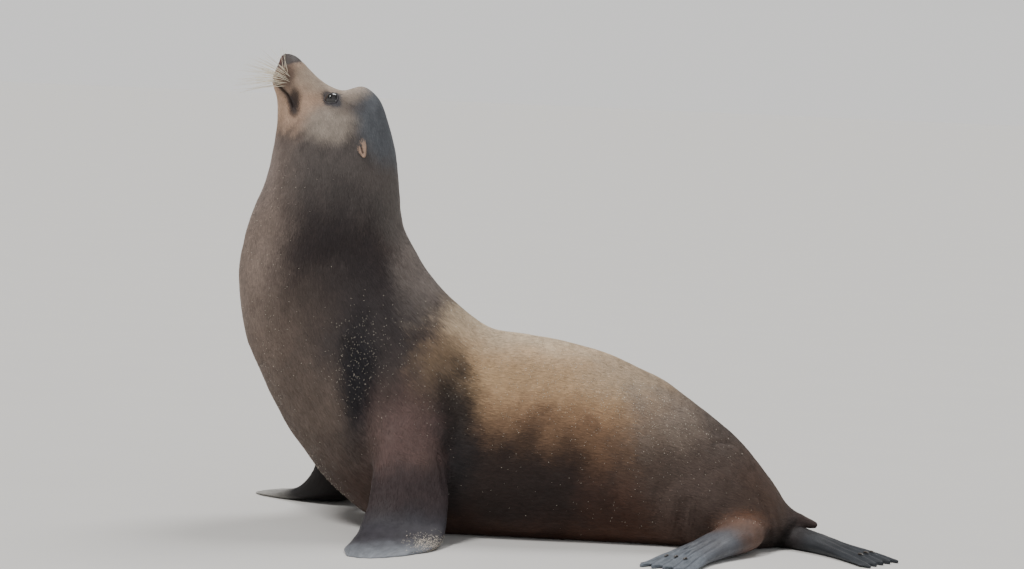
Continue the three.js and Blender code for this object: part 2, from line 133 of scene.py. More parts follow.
# Limb sections: front edge, rear edge, half-thickness.
FORE_DIGITS = {"count": 5, "notch": 5, "ridge": 0.16, "bulge": 56}
HIND_DIGITS = {"count": 5, "notch": 30, "ridge": 0.4, "bulge": -8}
LIMB_FULLNESS = 2.1          # 2 is an ellipse, more is squarer
LIMBS = {
    "left_fore": {"turn": 1, "digits": FORE_DIGITS, "sections": (
        (-312, -120, 400, -92, -110, 330, 62),
        (-330, -180, 320, -112, -168, 268, 62),
        (-330, -226, 240, -138, -222, 215, 54),
        (-322, -256, 160, -134, -258, 158, 44),
        (-326, -288, 88, -130, -286, 96, 36),
        (-342, -336, 34, -134, -322, 42, 28),
        (-358, -406, 12, -142, -378, 16, 20),
        (-370, -480, 6, -166, -440, 7, 13),
        (-364, -534, 3, -204, -488, 3, 5),
    )},
    "right_fore": {"turn": -1, "digits": FORE_DIGITS, "sections": (
        (-392, 112, 400, -172, 102, 330, 62),
        (-442, 166, 300, -228, 160, 262, 60),
        (-472, 206, 216, -290, 214, 206, 52),
        (-486, 236, 140, -308, 252, 148, 43),
        (-502, 262, 76, -318, 294, 92, 35),
        (-540, 300, 32, -342, 342, 40, 27),
        (-592, 342, 12, -384, 398, 16, 19),
        (-642, 390, 6, -434, 456, 7, 12),
        (-658, 416, 3, -486, 488, 3, 5),
    )},
    "left_hind": {"turn": 1, "digits": HIND_DIGITS, "sections": (
        (556, -80, 84, 640, -62, 78, 46),
        (534, -198, 54, 648, -214, 48, 43),
        (518, -262, 42, 616, -298, 38, 37),
        (466, -324, 28, 554, -374, 26, 28),
        (414, -388, 17, 504, -450, 16, 20),
        (364, -452, 8, 470, -530, 8, 14),
        (318, -512, 4, 440, -608, 4, 5),
    )},
    "right_hind": {"turn": -1, "digits": HIND_DIGITS, "sections": (
        (606, 24, 56, 610, -86, 54, 46),
        (678, 2, 38, 664, -122, 36, 38),
        (748, -42, 24, 716, -158, 23, 29),
        (812, -98, 17, 764, -206, 17, 23),
        (868, -158, 12, 806, -264, 12, 17),
        (924, -222, 7, 844, -336, 7, 12),
        (974, -282, 4, 876, -404, 4, 5),
    )},
}
TAIL = {"root": (676, -86, 80), "tip": (780, -95, 56), "root_radius": 29, "tip_radius": 10}
EYE_AT = (-465, -61.5, 1059)
EYE_RADIUS = 19.5
EAR_ROOT = (-392, -103, 966)
EAR_TIP = (-377, -127, 924)

# ---------- sizes of the looks, in metres ----------
COAT_DEPTH = 0.0025          # the skin lies this far inside the solids
HIDE_DEPTH = 0.0006          # the same on the bare flippers
FLOOR_CLEAR = 0.0008         # lowest point of the skin
BODY_SIDES = 200
BODY_DOME = 0.004
FORE_FINENESS, HIND_FINENESS = (9, 60), (11, 100)   # rings for each section, points in a ring
# rings, points in a ring, bulge of the ends
SMALL_PARTS = {"tail": (22, 40, 0.006), "left_ear": (29, 72, 0.0008), "right_ear": (29, 72, 0.0008)}
DOME_RINGS = (0.8, 0.5, 0.2)
LIMB_END_TURNS = (20, 40, 60, 80)   # rings that round off the tips of the digits, in degrees
EAR_HALF_WIDTH = 0.0125
EAR_HALF_THICK = 0.0055
EAR_SLIT_WIDTH = 0.0024
EAR_SUNK = 0.004             # how deep the root of the ear sits in the head
SEAM_TOUCH = 0.00006         # a point this near two parts is on their seam
SEAM_MERGE = 0.002
SEAM_ROUNDS = 60
SEAM_PULL = 0.9
# How far each part's seam with the body is rounded off.
SEAM_REACH = {
    "left_fore": 0.055, "right_fore": 0.05, "left_hind": 0.04, "right_hind": 0.03,
    "tail": 0.012, "left_ear": 0.004, "right_ear": 0.004,
}


# ---------- the head and the folds: places in millimetres, sizes in metres ----------
HEAD_ABOVE = 0.9            # the head's features all lie above this
FINE_REACH = 0.006          # faces are cut finer this near the features of the head, in metres
FINE_BLEND = 0.012
# heights and depths of the features, how far from their line, and how wide
LIP_RISE, LIP_AWAY, LIP_SOFT = 0.0014, 0.0052, 0.0032
MOUTH_DEPTH, MOUTH_WIDTH = 0.0042, 0.0019
NOSTRIL_DEPTH, NOSTRIL_WIDTH = 0.0065, 0.0028
NOSTRIL_RIM, NOSTRIL_RIM_AWAY, NOSTRIL_RIM_SOFT = 0.0011, 0.0055, 0.0022
LEATHER_STEP, LEATHER_SOFT = 0.0009, 0.0016
PHILTRUM_DEPTH, PHILTRUM_WIDTH = 0.0016, 0.0016
FOLLICLE_RISE, FOLLICLE_WIDTH = 0.0007, 0.0021
MOUTH_PLACES = (
    (-622, 1107), (-613, 1101), (-600, 1088), (-587, 1077), (-576, 1066), (-566, 1048), (-557, 1028),
)
NOSTRIL_PLACES = ((-603, -7, 1164), (-601, -17, 1156), (-596, -27, 1143), (-588, -33, 1132))
NOSE_EDGE = ((-615, 1131), (-545, 1150))
EYE_LOOKS = (-0.28, -0.83, 0.48)
EYE_LONG = (0.7, 0, -0.7)
EYE_OPENING = (0.0175, 0.0128)   # half-lengths of the opening, in metres
LID_THICK = 0.0016
LID_RIM = 0.0009            # the swollen edge of the lids
SOCKET_DEPTH = 0.005        # the skin behind the ball lies this far inside it
LID_FOLD_ABOVE, LID_FOLD_BELOW = 0.0013, 0.0008
LIDS_REACH = 0.06           # the skin is shaped no farther from the middle of the ball
WHISKER_ROWS = 5
WHISKER_COLUMNS = 6
WHISKER_START = (-609, 1116)
PAD_UP = (0.79, 0.61)            # from the lip to the bridge of the nose
PAD_BACK = (0.61, -0.79)         # from the nose to the corner of the mouth
PAD_STEP = 7                     # millimetres between whiskers
# length in the first column and how much longer each column back and each row down makes it,
# radius and how much more at the root, then the rise of the whiskers
WHISKER_LENGTH, LONGER_BACK, LONGER_LOW = 0.082, 0.010, 0.004
WHISKER_RADIUS, ROOT_SWELLING = 0.0009, 0.0004
WHISKER_LIFT, LIFT_PER_ROW, LIFT_PER_COLUMN = 2, 11, -2.5   # degrees
# what chance adds: degrees either way, least and most to the side, share of the length, sag
WHISKER_STRAY, WHISKER_ASIDE, ASIDE_PER_COLUMN = 7, (0.22, 0.5), 0.03
WHISKER_SHARES, WHISKER_SAG = (0.82, 1.12), 0.13
UPRIGHT_WHISKERS = ((4, 0), (4, 2), (3, 0))   # row and column
UPRIGHT_ANGLES, UPRIGHT_SHARE = (70, 95), 0.75

BANK_RISE = 0.2             # how much the sides of a fold swell, as a share of its depth
# Folds as (x, z) places on the side, the sides that have them, width and depth in metres.
FOLDS = (
    (((-330, 238), (-308, 262), (-268, 259), (-226, 262)), LEFT, 0.0035, 0.0018),  # crease of the elbow
    (((-168, 232), (-154, 180), (-140, 138), (-120, 112)), LEFT, 0.004, 0.0035),  # fold of the armpit
    (((-389, 500), (-378, 420), (-356, 340), (-334, 262), (-330, 170)), BOTH, 0.022, 0.010),  # before the arm
    (((-150, 400), (-134, 321), (-126, 261), (-134, 190)), BOTH, 0.020, 0.009),  # behind the arm
    (((498, 258), (522, 264), (550, 260), (578, 247), (600, 228)), BOTH, 0.004, 0.0022),  # crease of the rump
    (((446, 138), (441, 96), (440, 60), (454, 4)), BOTH, 0.011, 0.005),  # deep fold before the thigh
    (((452, 186), (411, 172), (384, 134), (374, 85), (381, 20)), BOTH, 0.014, 0.003),  # round the thigh
    (((480, 193), (529, 206), (579, 187)), BOTH, 0.009, 0.0015),  # over the thigh
    (((620, 150), (652, 108), (668, 70), (662, 34)), BOTH, 0.008, 0.006),  # before the tail
    (((-640, 560), (-600, 500), (-560, 430)), BOTH, 0.03, 0.003),  # side of the breast
    (((-20, 330), (60, 250), (160, 200), (280, 190)), BOTH, 0.045, 0.004),  # side of the belly
)

# ---------- markings, painted shade and painted highlights, as colours in 0 to 255 and soft round patches in millimetres ---
BASE_COLOUR = (84, 72, 67)
# colour, centre (the middle of a pair has y above 0), radii, softness of the edge, strength
MARKINGS_AND_PAINTED_LIGHT = (
    ((94, 89, 87), (-380, 0, 885), (270, 400, 150), 0.5, 0.7),  # grey of the upper neck
    ((36, 30, 32), (-450, 100, 645), (190, 300, 170), 0.6, 0.9),  # dark ring of the neck
    ((146, 130, 120), (-645, 0, 570), (118, 190, 450), 0.5, 0.85),  # paler front of the breast: partly paler hair, partly painted rim light along its front edge
    ((114, 101, 93), (-525, 60, 245), (85, 160, 120), 0.6, 0.7),  # pale lower breast
    ((114, 108, 104), (-285, 0, 790), (60, 150, 120), 0.6, 0.6),  # paler nape: painted rim light along the back of the neck
    ((150, 136, 130), (-640, 0, 890), (60, 130, 120), 0.5, 0.8),  # pale throat: painted rim light down the front of the throat
    ((110, 96, 87), (-490, 100, 400), (170, 300, 220), 0.5, 0.7),  # lower breast
    ((54, 49, 50), (-330, 150, 520), (160, 300, 150), 0.6, 0.85),  # dark shoulder
    ((132, 122, 116), (-225, 20, 650), (70, 220, 120), 0.6, 0.75),  # grizzled withers
    ((190, 158, 122), (140, 100, 400), (330, 400, 215), 0.3, 0.97),  # tan saddle
    ((214, 194, 166), (75, 0, 520), (272, 190, 75), 0.6, 0.75),  # paler ridge of the back: painted highlight where the light from above falls on the tan
    ((130, 98, 75), (120, 200, 240), (310, 300, 110), 0.6, 0.85),  # flank
    ((74, 46, 33), (140, 150, 90), (430, 300, 135), 0.6, 0.9),  # low flank and belly: dark reddish brown, darkened further by painted shade on the underside
    ((38, 29, 27), (10, 230, 140), (250, 110, 145), 0.55, 0.93),  # shade under the ribs
    ((32, 29, 31), (-140, 200, 270), (70, 120, 190), 0.5, 0.93),  # shade behind the arm
    ((24, 23, 29), (-368, 200, 375), (44, 120, 150), 0.6, 0.95),  # shade before the arm
    ((98, 78, 75), (-245, 250, 250), (85, 120, 120), 0.6, 0.85),  # upper arm
    ((80, 69, 63), (445, 120, 240), (170, 300, 160), 0.5, 0.85),  # hip
    ((158, 146, 130), (300, 60, 410), (130, 220, 55), 0.6, 0.5),  # pale dusting of the loin
    ((148, 134, 122), (378, 80, 305), (105, 170, 82), 0.6, 0.6),  # pale dusting of the hip
    ((88, 74, 68), (500, 200, 110), (110, 200, 90), 0.6, 0.75),  # thigh
    ((82, 65, 56), (650, 80, 150), (120, 200, 110), 0.5, 0.75),  # rump
    ((72, 60, 58), (740, 90, 66), (70, 80, 40), 0.4, 0.9),  # tail
    ((14, 11, 11), (690, 105, 22), (56, 120, 46), 0.45, 0.97),  # shade under the tail
    ((116, 80, 60), (578, 195, 72), (66, 66, 32), 0.5, 0.85),  # rusty ankle
    ((40, 28, 24), (642, 216, 38), (30, 44, 24), 0.5, 0.8),  # shade behind the ankle
    ((100, 104, 110), (-326, 0, 1030), (84, 260, 120), 0.35, 0.9),  # slate crown
    ((178, 164, 150), (-426, 40, 1082), (38, 60, 28), 0.6, 0.8),  # pale brow
    ((190, 160, 138), (-560, 0, 1078), (90, 160, 105), 0.35, 0.97),  # tan muzzle and jaw
    ((168, 156, 144), (-468, 80, 1000), (62, 80, 48), 0.4, 0.85),  # pale cheek
    ((178, 162, 146), (-490, 0, 1112), (95, 90, 46), 0.5, 0.85),  # bridge of the nose: paler tan, with painted highlight where the light from above falls
    ((44, 36, 35), (-560, 60, 1057), (15, 50, 36), 0.6, 0.92),  # dark corner of the mouth
    ((92, 78, 70), (-577, 40, 1112), (15, 50, 34), 0.6, 0.55),  # behind the whiskers
    ((104, 82, 72), (-590, 40, 1122), (24, 40, 30), 0.5, 0.7),  # round the whiskers
)
# parts, places along them where the tone starts and is full, colour, strength
LIMB_TONES = (
    (FORE, 2.4, 3.5, (60, 50, 52), 0.85),
    (FORE, 3.8, 5.2, (62, 61, 67), 0.9),
    (FORE, 6.0, 7.8, (136, 141, 148), 0.8),
    (HIND, 0.6, 1.6, (118, 90, 76), 0.6),
    (HIND, 1.9, 3.0, (84, 88, 95), 0.95),
    (HIND, 3.4, 5.0, (110, 118, 128), 0.75),
    # far hind foot: dark wet hide, darkened further by painted shade where it lies in shadow
    (("right_hind",), 0.5, 1.5, (32, 34, 38), 0.86),
    # painted shade on the far fore limb, which lies in the body's shadow
    (("right_fore",), 1.2, 3.4, (22, 18, 18), 0.88),
    (("right_fore",), 5.2, 6.8, (170, 168, 164), 0.85),
    (EARS, -0.4, 0.1, (184, 154, 134), 0.9),
)
LIP_COLOUR = (46, 38, 38)
LID_COLOUR = (60, 62, 70)
NOSE_COLOUR = (58, 52, 52)
NOSTRIL_RIM_COLOUR = (106, 66, 56)
NOSTRIL_COLOUR = (24, 16, 16)
SAND_COLOUR = (226, 216, 200)
SKIN_SHADE = 0.1             # how much darker the skin is under the fur
# how dark the painted shade in the furrows between the digits is
FURROW_PAINTED_SHADE = 0.4
GRAIN_LIFT = 0.0007          # grains of sand lie on the fur
TUFT_SHADES = np.array([0.86, 0.86, 1.0, 1.08])   # two root points, crown and tip
# Where the bare blades of the flippers begin and are fully bare, as places along the limb.
BARE_FROM = {
    "left_fore": (4.4, 5.6), "right_fore": (4.4, 5.6),
    "left_hind": (2.2, 3.3), "right_hind": (2.2, 3.3),
}
CORNEA = 0.0014              # how far the clear front of the eye stands out
CLAW_DIGITS = (2, 3, 4)      # the middle digits of the hind feet, the first one being the rear one
CLAW_PLACE = 5.0             # place along the limb
CLAW_LENGTH = 0.02
CLAW_RADIUS = 0.0036
CLAW_ARCH, CLAW_SUNK, CLAW_RISE = 0.0022, 0.0016, 0.001   # in the middle, at the root, at the tip
UNWRAP_PATCH = 0.003         # size of a tuft's patch on the unwrap
TUFT_LEAN = 0.12             # how far each tuft's shine turns to one side
TUFT_SIZES = {
    "nose": 0.0042, "muzzle": 0.0034, "neck": 0.0062, "rump": -0.003,   # each adds to the ones before it
    "tail": 0.009, "ear": 0.0035, "limb": 0.0125, "hand": -0.0075,
}
LIE_STEP = 0.04              # places this far apart on a part give the lie of its tufts
HIDDEN_DEPTH = 0.002         # tufts this deep inside another part are left out
TUFT_SPREAD = (0.75, 1.25)   # shortest and longest, as a share of the usual length
# noise, as strength, size and seed: turns of the coat, edges of the markings, mottling, fat and muscle
SWIRLS = ((0.09, 0.11, 41), (0.06, 0.035, 42))
RAGGED_EDGES = ((0.20, 0.09, 31), (0.13, 0.025, 32))
MOTTLING = ((0.07, 0.13, 33), (0.08, 0.03, 34), (0.1, 0.011, 35))
LUMPS = ((0.0016, 0.16, 21), (0.0005, 0.05, 22))
LOOSE_HAIR = 0.06
TUFT_SUNK = 0.0002           # the roots lie this far under the skin
TUFT_WIDTH, WIDTH_SHARE = 0.0003, 0.12   # least width, and more with the length
# share of the length, more, and the limit: how far the tip is off the skin, and the crown over it
TIP_LIFT = (0.05, 0.0001, 0.0008)
CROWN_LIFT = (0.015, 0.0003, 0.00025)
# how far from its root a tuft takes its colour, on the head and elsewhere, and how colours vary
SCATTER_HEAD, SCATTER_BODY, TONE_SPREAD = 0.0025, 0.006, 0.12
GRAIN_SIZES = (0.0004, 0.0010)
EYE_RINGS, EYE_SIDES = 30, 48
CLAW_RINGS, CLAW_SIDES = 12, 14
WHISKER_RINGS, WHISKER_SIDES = 11, 6

# Pieces of coat on the body: name, slot, from and to which section, how many tufts.
COAT_STRETCHES = (
    ("coat_head", "fur_tan", "nose tip", "ear", 49000),
    ("coat_neck", "fur_dark", "ear", "neck base", 49000),
    ("coat_shoulders", "fur_dark", "neck base", "shoulder", 49000),
    ("coat_breast", "fur_dark", "shoulder", "ribs", 49000),
    ("coat_trunk", "fur_tan", "ribs", "hip", 49000),
    ("coat_rump", "fur_brown", "hip", "tail root", 49000),
)
COAT_START = 0.4             # the very tip of the nose has no tufts
# The same on the other parts: from and to which place along them, how many tufts.
COAT_PARTS = {
    "left_fore": (0.5, 5.6, 15000), "right_fore": (0.5, 5.6, 15000),
    "left_hind": (0.3, 3.3, 7000), "right_hind": (0.3, 3.3, 5000),
    "tail": (0.0, 1.0, 3500), "left_ear": (0.0, 1.0, 1200), "right_ear": (0.0, 1.0, 1200),
}
# Sand caught in the fur: centre, spread and number of grains.
SAND_PLACES = (
    ((-375, -200, 430), (35, 40, 55), 260),
    ((-300, -215, 430), (70, 40, 60), 160),
    ((-560, -120, 420), (50, 60, 110), 160),
    ((-420, -60, 150), (60, 40, 60), 160),
    ((120, -200, 380), (220, 40, 90), 700),
    ((330, -200, 340), (120, 40, 70), 420),
    ((300, -230, 200), (200, 30, 90), 220),
    ((-560, -60, 820), (60, 60, 120), 60),
    ((0, 0, 520), (300, 90, 20), 260),
    ((-178, -405, 20), (24, 34, 10), 650),
)

# ---------- floor and light ----------
FLOOR_COLOUR = (0.74, 0.73, 0.71, 1)
FLOOR_REACH = 200.0          # metres
WORLD_LOW, WORLD_HIGH = 0.92, 0.30   # strength near the horizon and overhead
WORLD_RAMP = (0.03, 0.3)     # heights between which it falls, 1 being straight up
# where each lamp stands, its softness in degrees, strength and colour
SUNS = {
    "key": ((-0.9, -0.8, 1.9), 14, 2.0, (1.0, 0.98, 0.95)),
    "top": ((0.6, 0.9, 2.0), 25, 1.4, (1.0, 0.99, 0.98)),
    "fill": ((1.0, -1.6, 0.8), 60, 0.3, (0.9, 0.94, 1.0)),
}

# ---------- plain number work ----------
def along_curve(rows, t):
    """The smooth curve through a table's rows at places t, one row per place."""
    last = len(rows) - 1
    i = np.clip(np.floor(t).astype(int), 0, last - 1)
    f = (t - i)[:, None]
    before, here = rows[np.maximum(i - 1, 0)], rows[i]
    there, after = rows[i + 1], rows[np.minimum(i + 2, last)]
    start = (there - before) * np.where(i > 0, 0.5, 1.0)[:, None]
    end = (after - here) * np.where(i + 2 <= last, 0.5, 1.0)[:, None]
    f2, f3 = f * f, f ** 3
    through = (2 * f3 - 3 * f2 + 1) * here + (3 * f2 - 2 * f3) * there
    return through + (f3 - 2 * f2 + f) * start + (f3 - f2) * end


def unit(v):
    """Vectors brought to length 1."""
    return v / np.maximum(np.linalg.norm(v, axis=-1, keepdims=True), 1e-12)


def smooth(x, low, high):
    """0 below low, 1 above high and an easy slope between."""
    f = np.clip((x - low) / (high - low), 0, 1)
    return f * f * (3 - 2 * f)


def bell(away, width):
    """A soft bump: 1 in the middle, and fading at about its width."""
    return np.exp(-(away / width) ** 2)


def swollen(value, full):
    """Sine or cosine bent so that a round section fills out towards a square one."""
    return np.sign(value) * np.abs(value) ** (2 / full)


def ripple(points, scale, seed):
    """Smooth blotchy noise between about -1 and 1, blotches about `scale` metres across."""
    chance = np.random.RandomState(seed)
    total = np.zeros(len(points))
    waves = 9
    for _ in range(waves):
        way = chance.normal(size=3)
        way /= np.linalg.norm(way)
        pitch = scale * chance.uniform(0.7, 1.6)
        bend = np.sin(points @ chance.normal(size=3) * 2.2 / scale + chance.uniform(0, 6))
        total += np.sin(points @ way * 2 * math.pi / pitch + bend * 1.3 + chance.uniform(0, 6))
    return total / math.sqrt(waves) / 1.2


def ripples(points, kinds):
    """Several kinds of noise added up, each given by its strength, its size and its seed."""
    return sum(strength * ripple(points, size, seed) for strength, size, seed in kinds)


# ---------- the body's surface ----------
def body_surface(t, angle, inset):
    """Points on the body at places t along it and angles round it (0 is the back)."""
    row = along_curve(BODY_ROWS, t) * np.array([MM] * 5 + [1, 1] + [MM])
    back = np.stack([row[:, 0], row[:, 7], row[:, 1]], 1)
    belly = np.stack([row[:, 2], row[:, 7], row[:, 3]], 1)
    half, widest, full, side = row[:, 4], row[:, 5], row[:, 6], row[:, 7]
    tall = np.linalg.norm(back - belly, axis=1)
    up = unit(back - belly)
    middle = belly + (back - belly) * widest[:, None]
    level = swollen(np.cos(angle), full)
    across = swollen(np.sin(angle), full) * (half - inset)
    above = tall * (1 - widest) - inset
    below = tall * widest - inset
    lift = np.where(level > 0, level * above, level * below)
    point = middle + up * lift[:, None]
    point[:, 1] += across
    outward = unit(point - middle)
    for at, reach, rise in SWELLINGS:
        for turn in BOTH:
            spot = np.tile(np.array(at) * MM * (1, turn, 1), (len(side), 1))
            spot[:, 1] += side
            away = np.linalg.norm(point - spot, axis=1) / (reach * MM)
            point = point + outward * (rise * MM * bell(away, 1))[:, None]
    return point


def limb_frame(limb, t):
    """Middle, directions and sizes of a limb's sections at places t along it."""
    rows = np.array(limb["sections"], float)
    last = len(rows) - 1
    row = along_curve(rows, t) * MM
    ahead = along_curve(rows, np.minimum(t + 0.05, last)) * MM
    behind = along_curve(rows, np.maximum(t - 0.05, 0)) * MM
    chord = row[:, 0:3] - row[:, 3:6]
    onward = unit((ahead[:, 0:3] + ahead[:, 3:6]) - (behind[:, 0:3] + behind[:, 3:6]))
    return {
        "middle": (row[:, 0:3] + row[:, 3:6]) / 2,
        "chord": unit(chord),
        "half": np.linalg.norm(chord, axis=1) / 2,
        "onward": onward,
        "upward": unit(np.cross(chord, onward)) * limb["turn"],
        "thick": row[:, 6],
        "spread": np.maximum(0, (t - (last - 3)) / 3),
    }


def limb_point(f, digits, across, height, inset):
    """Points on a limb. Across runs from -1 at the rear edge to 1 at the front."""
    on_digit = -np.cos(math.pi * digits["count"] * (across + 1))
    ridge = 1 + digits["ridge"] * f["spread"] * on_digit
    lift = height * (f["thick"] * ridge - inset)
    reach = (digits["bulge"] * (1 - across ** 2) + digits["notch"] * (on_digit - 1) / 2) * MM
    point = f["middle"] + f["chord"] * (across * (f["half"] - inset))[:, None] + f["upward"] * lift[:, None]
    return point + f["onward"] * (reach * f["spread"] ** 2)[:, None]


def limb_surface(name, t, angle, inset, closing=0.0):
    """Points on a limb. Closing, up to a right angle, rounds its end off beyond the last section."""
    limb = LIMBS[name]
    f = limb_frame(limb, t)
    across = swollen(np.cos(angle), LIMB_FULLNESS)
    height = swollen(np.sin(angle), LIMB_FULLNESS)
    point = limb_point(f, limb["digits"], across, height * math.cos(closing), inset)
    return point + f["onward"] * (f["thick"] * math.sin(closing))[:, None]


def tail_surface(t, angle, inset):
    """The tail, t from 0 at the root to 1 at the tip."""
    root, tip = np.array(TAIL["root"]) * MM, np.array(TAIL["tip"]) * MM
    onward = unit(tip - root)
    sideways = unit(np.cross(onward, [0, 0, 1]))
    upward = np.cross(sideways, onward)
    radius = (TAIL["root_radius"] + (TAIL["tip_radius"] - TAIL["root_radius"]) * t ** 1.4) * MM - inset
    middle = root + (tip - root) * t[:, None]
    return middle + sideways * (np.cos(angle) * radius)[:, None] + upward * (np.sin(angle) * radius)[:, None]


# ---------- meshes from surfaces ----------
PARTS = ("body", "left_fore", "right_fore", "left_hind", "right_hind", "tail", "left_ear", "right_ear")
# Where each part lies on the unwrap: low u, low v, width, height.
ISLANDS = {
    "body": (0.0, 0.0, 1.0, 0.68),
    "left_fore": (0.0, 0.7, 0.22, 0.3),
    "right_fore": (0.23, 0.7, 0.22, 0.3),
    "left_hind": (0.46, 0.7, 0.2, 0.3),
    "right_hind": (0.67, 0.7, 0.2, 0.3),
    "tail": (0.88, 0.7, 0.12, 0.14),
    "left_ear": (0.88, 0.85, 0.055, 0.15),
    "right_ear": (0.94, 0.85, 0.055, 0.15),
}
LAST_PLACE = {"body": len(BODY_NAMES) - 1, "tail": 1, "left_ear": 1, "right_ear": 1}
LAST_PLACE.update({name: len(limb["sections"]) - 1 for name, limb in LIMBS.items()})
COMB_RADIUS = {"body": 0.16, "tail": 0.025, "left_ear": 0.01, "right_ear": 0.01}
COMB_REACH = {"body": 0.083, "tail": 0.11, "left_ear": 0.045, "right_ear": 0.045}


def off_edges(share):
    """A share from 0 to 1 kept a little off both its ends, for the margins of the unwrap."""
    return 0.01 + 0.98 * share


def unwrap(part, t, angle):
    """Place of a surface point on the part's island of the unwrap."""
    u, v, wide, high = ISLANDS[part]
    around = (angle + math.pi) / (2 * math.pi)
    return np.stack([u + wide * off_edges(t / LAST_PLACE[part]), v + high * off_edges(around)], -1)


def comb(part, t, angle):
    """Metres along the lie of the coat and metres across it."""
    return np.stack([t * COMB_REACH.get(part, 0.09), angle * COMB_RADIUS.get(part, 0.06)], -1)


def domed(rings, dome):
    """Rings with smaller ones added at both ends, so that the ends bulge by `dome`."""
    rings = list(rings)
    for last in (False, True):
        edge, inner = (rings[-1], rings[-2]) if last else (rings[0], rings[1])
        middle = edge.mean(0)
        outward = unit(middle - inner.mean(0))
        for shrink in DOME_RINGS:
            ring = middle + (edge - middle) * shrink + outward * dome * math.sqrt(1 - shrink ** 2)
            rings.insert(len(rings) if last else 0, ring)
    return rings


def end_cap(first, sides):
    """A ring closed flat by faces that run straight across it."""
    faces = [[first, first + 1, first + sides - 1]]
    for i in range(1, sides // 2 - 1):
        faces.append([first + i, first + i + 1, first + sides - i - 1, first + sides - i])
    middle = first + sides // 2
    return faces + [[middle - 1, middle, middle + 1]]


def rings_mesh(name, rings, places, angle):
    """Closed mesh through rings of points, with the unwrap and the lie of the coat kept as maps."""
    sides, count = len(angle), len(rings)
    row = np.arange(count - 1)[:, None] * sides
    here = np.arange(sides)[None, :]
    there = (here + 1) % sides
    faces = np.stack([row + here, row + there, row + sides + there, row + sides + here], -1)
    faces = faces.reshape(-1, 4).tolist()
    walls = len(faces)
    faces += end_cap(0, sides) + end_cap((count - 1) * sides, sides)
    mesh = bpy.data.meshes.new(name)
    mesh.from_pydata(np.concatenate(rings).tolist(), [], faces)
    corners = np.array([corner for face in faces for corner in face])
    corner_t = np.array(places)[corners // sides]
    corner_a = angle[corners % sides]
    wrapped = corner_a[:walls * 4].reshape(-1, 4)
    wrapped[:, 1:3][wrapped[:, 1:3] < wrapped[:, :1]] += 2 * math.pi
    maps = {
        "OFBake": unwrap(name, corner_t, corner_a),
        "comb": comb(name, corner_t, corner_a),
        "place": np.stack([np.full(len(corner_t), float(PARTS.index(name))), corner_t], -1),
    }
    for key, values in maps.items():
        mesh.uv_layers.new(name=key).uv.foreach_set("vector", values.astype(np.float32).ravel())
    face_outward(mesh)
    return in_scene(name, mesh)


def angles_round(sides):
    """Angles of a ring's points, from one side of the belly's middle round to the other."""
    return np.arange(sides) * 2 * math.pi / sides - math.pi


def domed_mesh(name, places, sides, dome):
    """A part of rings with both its ends domed over."""
    angle = angles_round(sides)
    surface = surface_of(name)
    rings = domed([surface(np.full(sides, t), angle) for t in places], dome)
    extra = len(DOME_RINGS)
    return rings_mesh(name, rings, [places[0]] * extra + list(places) + [places[-1]] * extra, angle)


def limb_mesh(name, steps, sides):
    """A limb whose far end is rounded off from edge to edge."""
    angle = angles_round(sides)
    last = LAST_PLACE[name]
    places = list(np.linspace(0, last, last * steps + 1))
    rings = [limb_surface(name, np.full(sides, t), angle, HIDE_DEPTH) for t in places]
    end = np.full(sides, float(last))
    rings += [limb_surface(name, end, angle, HIDE_DEPTH, math.radians(turn)) for turn in LIMB_END_TURNS]
    return rings_mesh(name, rings, places + [last] * len(LIMB_END_TURNS), angle)


def reworked(mesh, change):
    """A mesh's faces changed in place by `change`, which works on them one by one."""
    bm = bmesh.new()
    bm.from_mesh(mesh)
    bm.verts.ensure_lookup_table()
    change(bm)
    bm.to_mesh(mesh)
    bm.free()


def face_outward(mesh):
    """All faces turn their fronts outward."""
    reworked(mesh, lambda bm: bmesh.ops.recalc_face_normals(bm, faces=bm.faces))


def read(layer, key, width):
    """One value of all of a mesh's items, as rows of numbers."""
    flat = np.empty(len(layer) * width, np.float32)
    layer.foreach_get(key, flat)
    return flat.reshape(-1, width).astype(float)


def mesh_points(mesh):
    """Where the points of a mesh are."""
    return read(mesh.vertices, "co", 3)


def mesh_normals(mesh):
    """Which way the skin faces at each point."""
    return read(mesh.vertices, "normal", 3)


def set_points(mesh, points):
    """The points of a mesh moved to new places."""
    mesh.vertices.foreach_set("co", points.astype(np.float32).ravel())
    mesh.update()


def mesh_edges(mesh):
    """The two point numbers of each edge."""
    flat = np.empty(len(mesh.edges) * 2, np.int32)
    mesh.edges.foreach_get("vertices", flat)
    return flat.reshape(-1, 2)


def tree_of(mesh):
    """A search tree for the nearest place on a mesh."""
    mesh.calc_loop_triangles()
    corners = np.empty(len(mesh.loop_triangles) * 3, np.int32)
    mesh.loop_triangles.foreach_get("vertices", corners)
    return BVHTree.FromPolygons(mesh_points(mesh).tolist(), corners.reshape(-1, 3).tolist())


def nearest(tree, points):
    """For each point, the closest place on the tree's surface and the normal there."""
    places = np.empty_like(points)
    normals = np.empty_like(points)
    for i, point in enumerate(points.tolist()):
        place, normal, _, _ = tree.find_nearest(point)
        places[i] = place
        normals[i] = normal
    return places, normals


def depth_inside(tree, points, margin):
    """How deep points are inside a closed surface; below zero outside. Far ones are -margin."""
    depth = np.full(len(points), -margin)
    for i, point in enumerate(points.tolist()):
        place, normal, _, away = tree.find_nearest(point, margin)
        if place is not None:
            outside = (Vector(point) - place).dot(normal) > 0
            depth[i] = -away if outside else away
    return depth


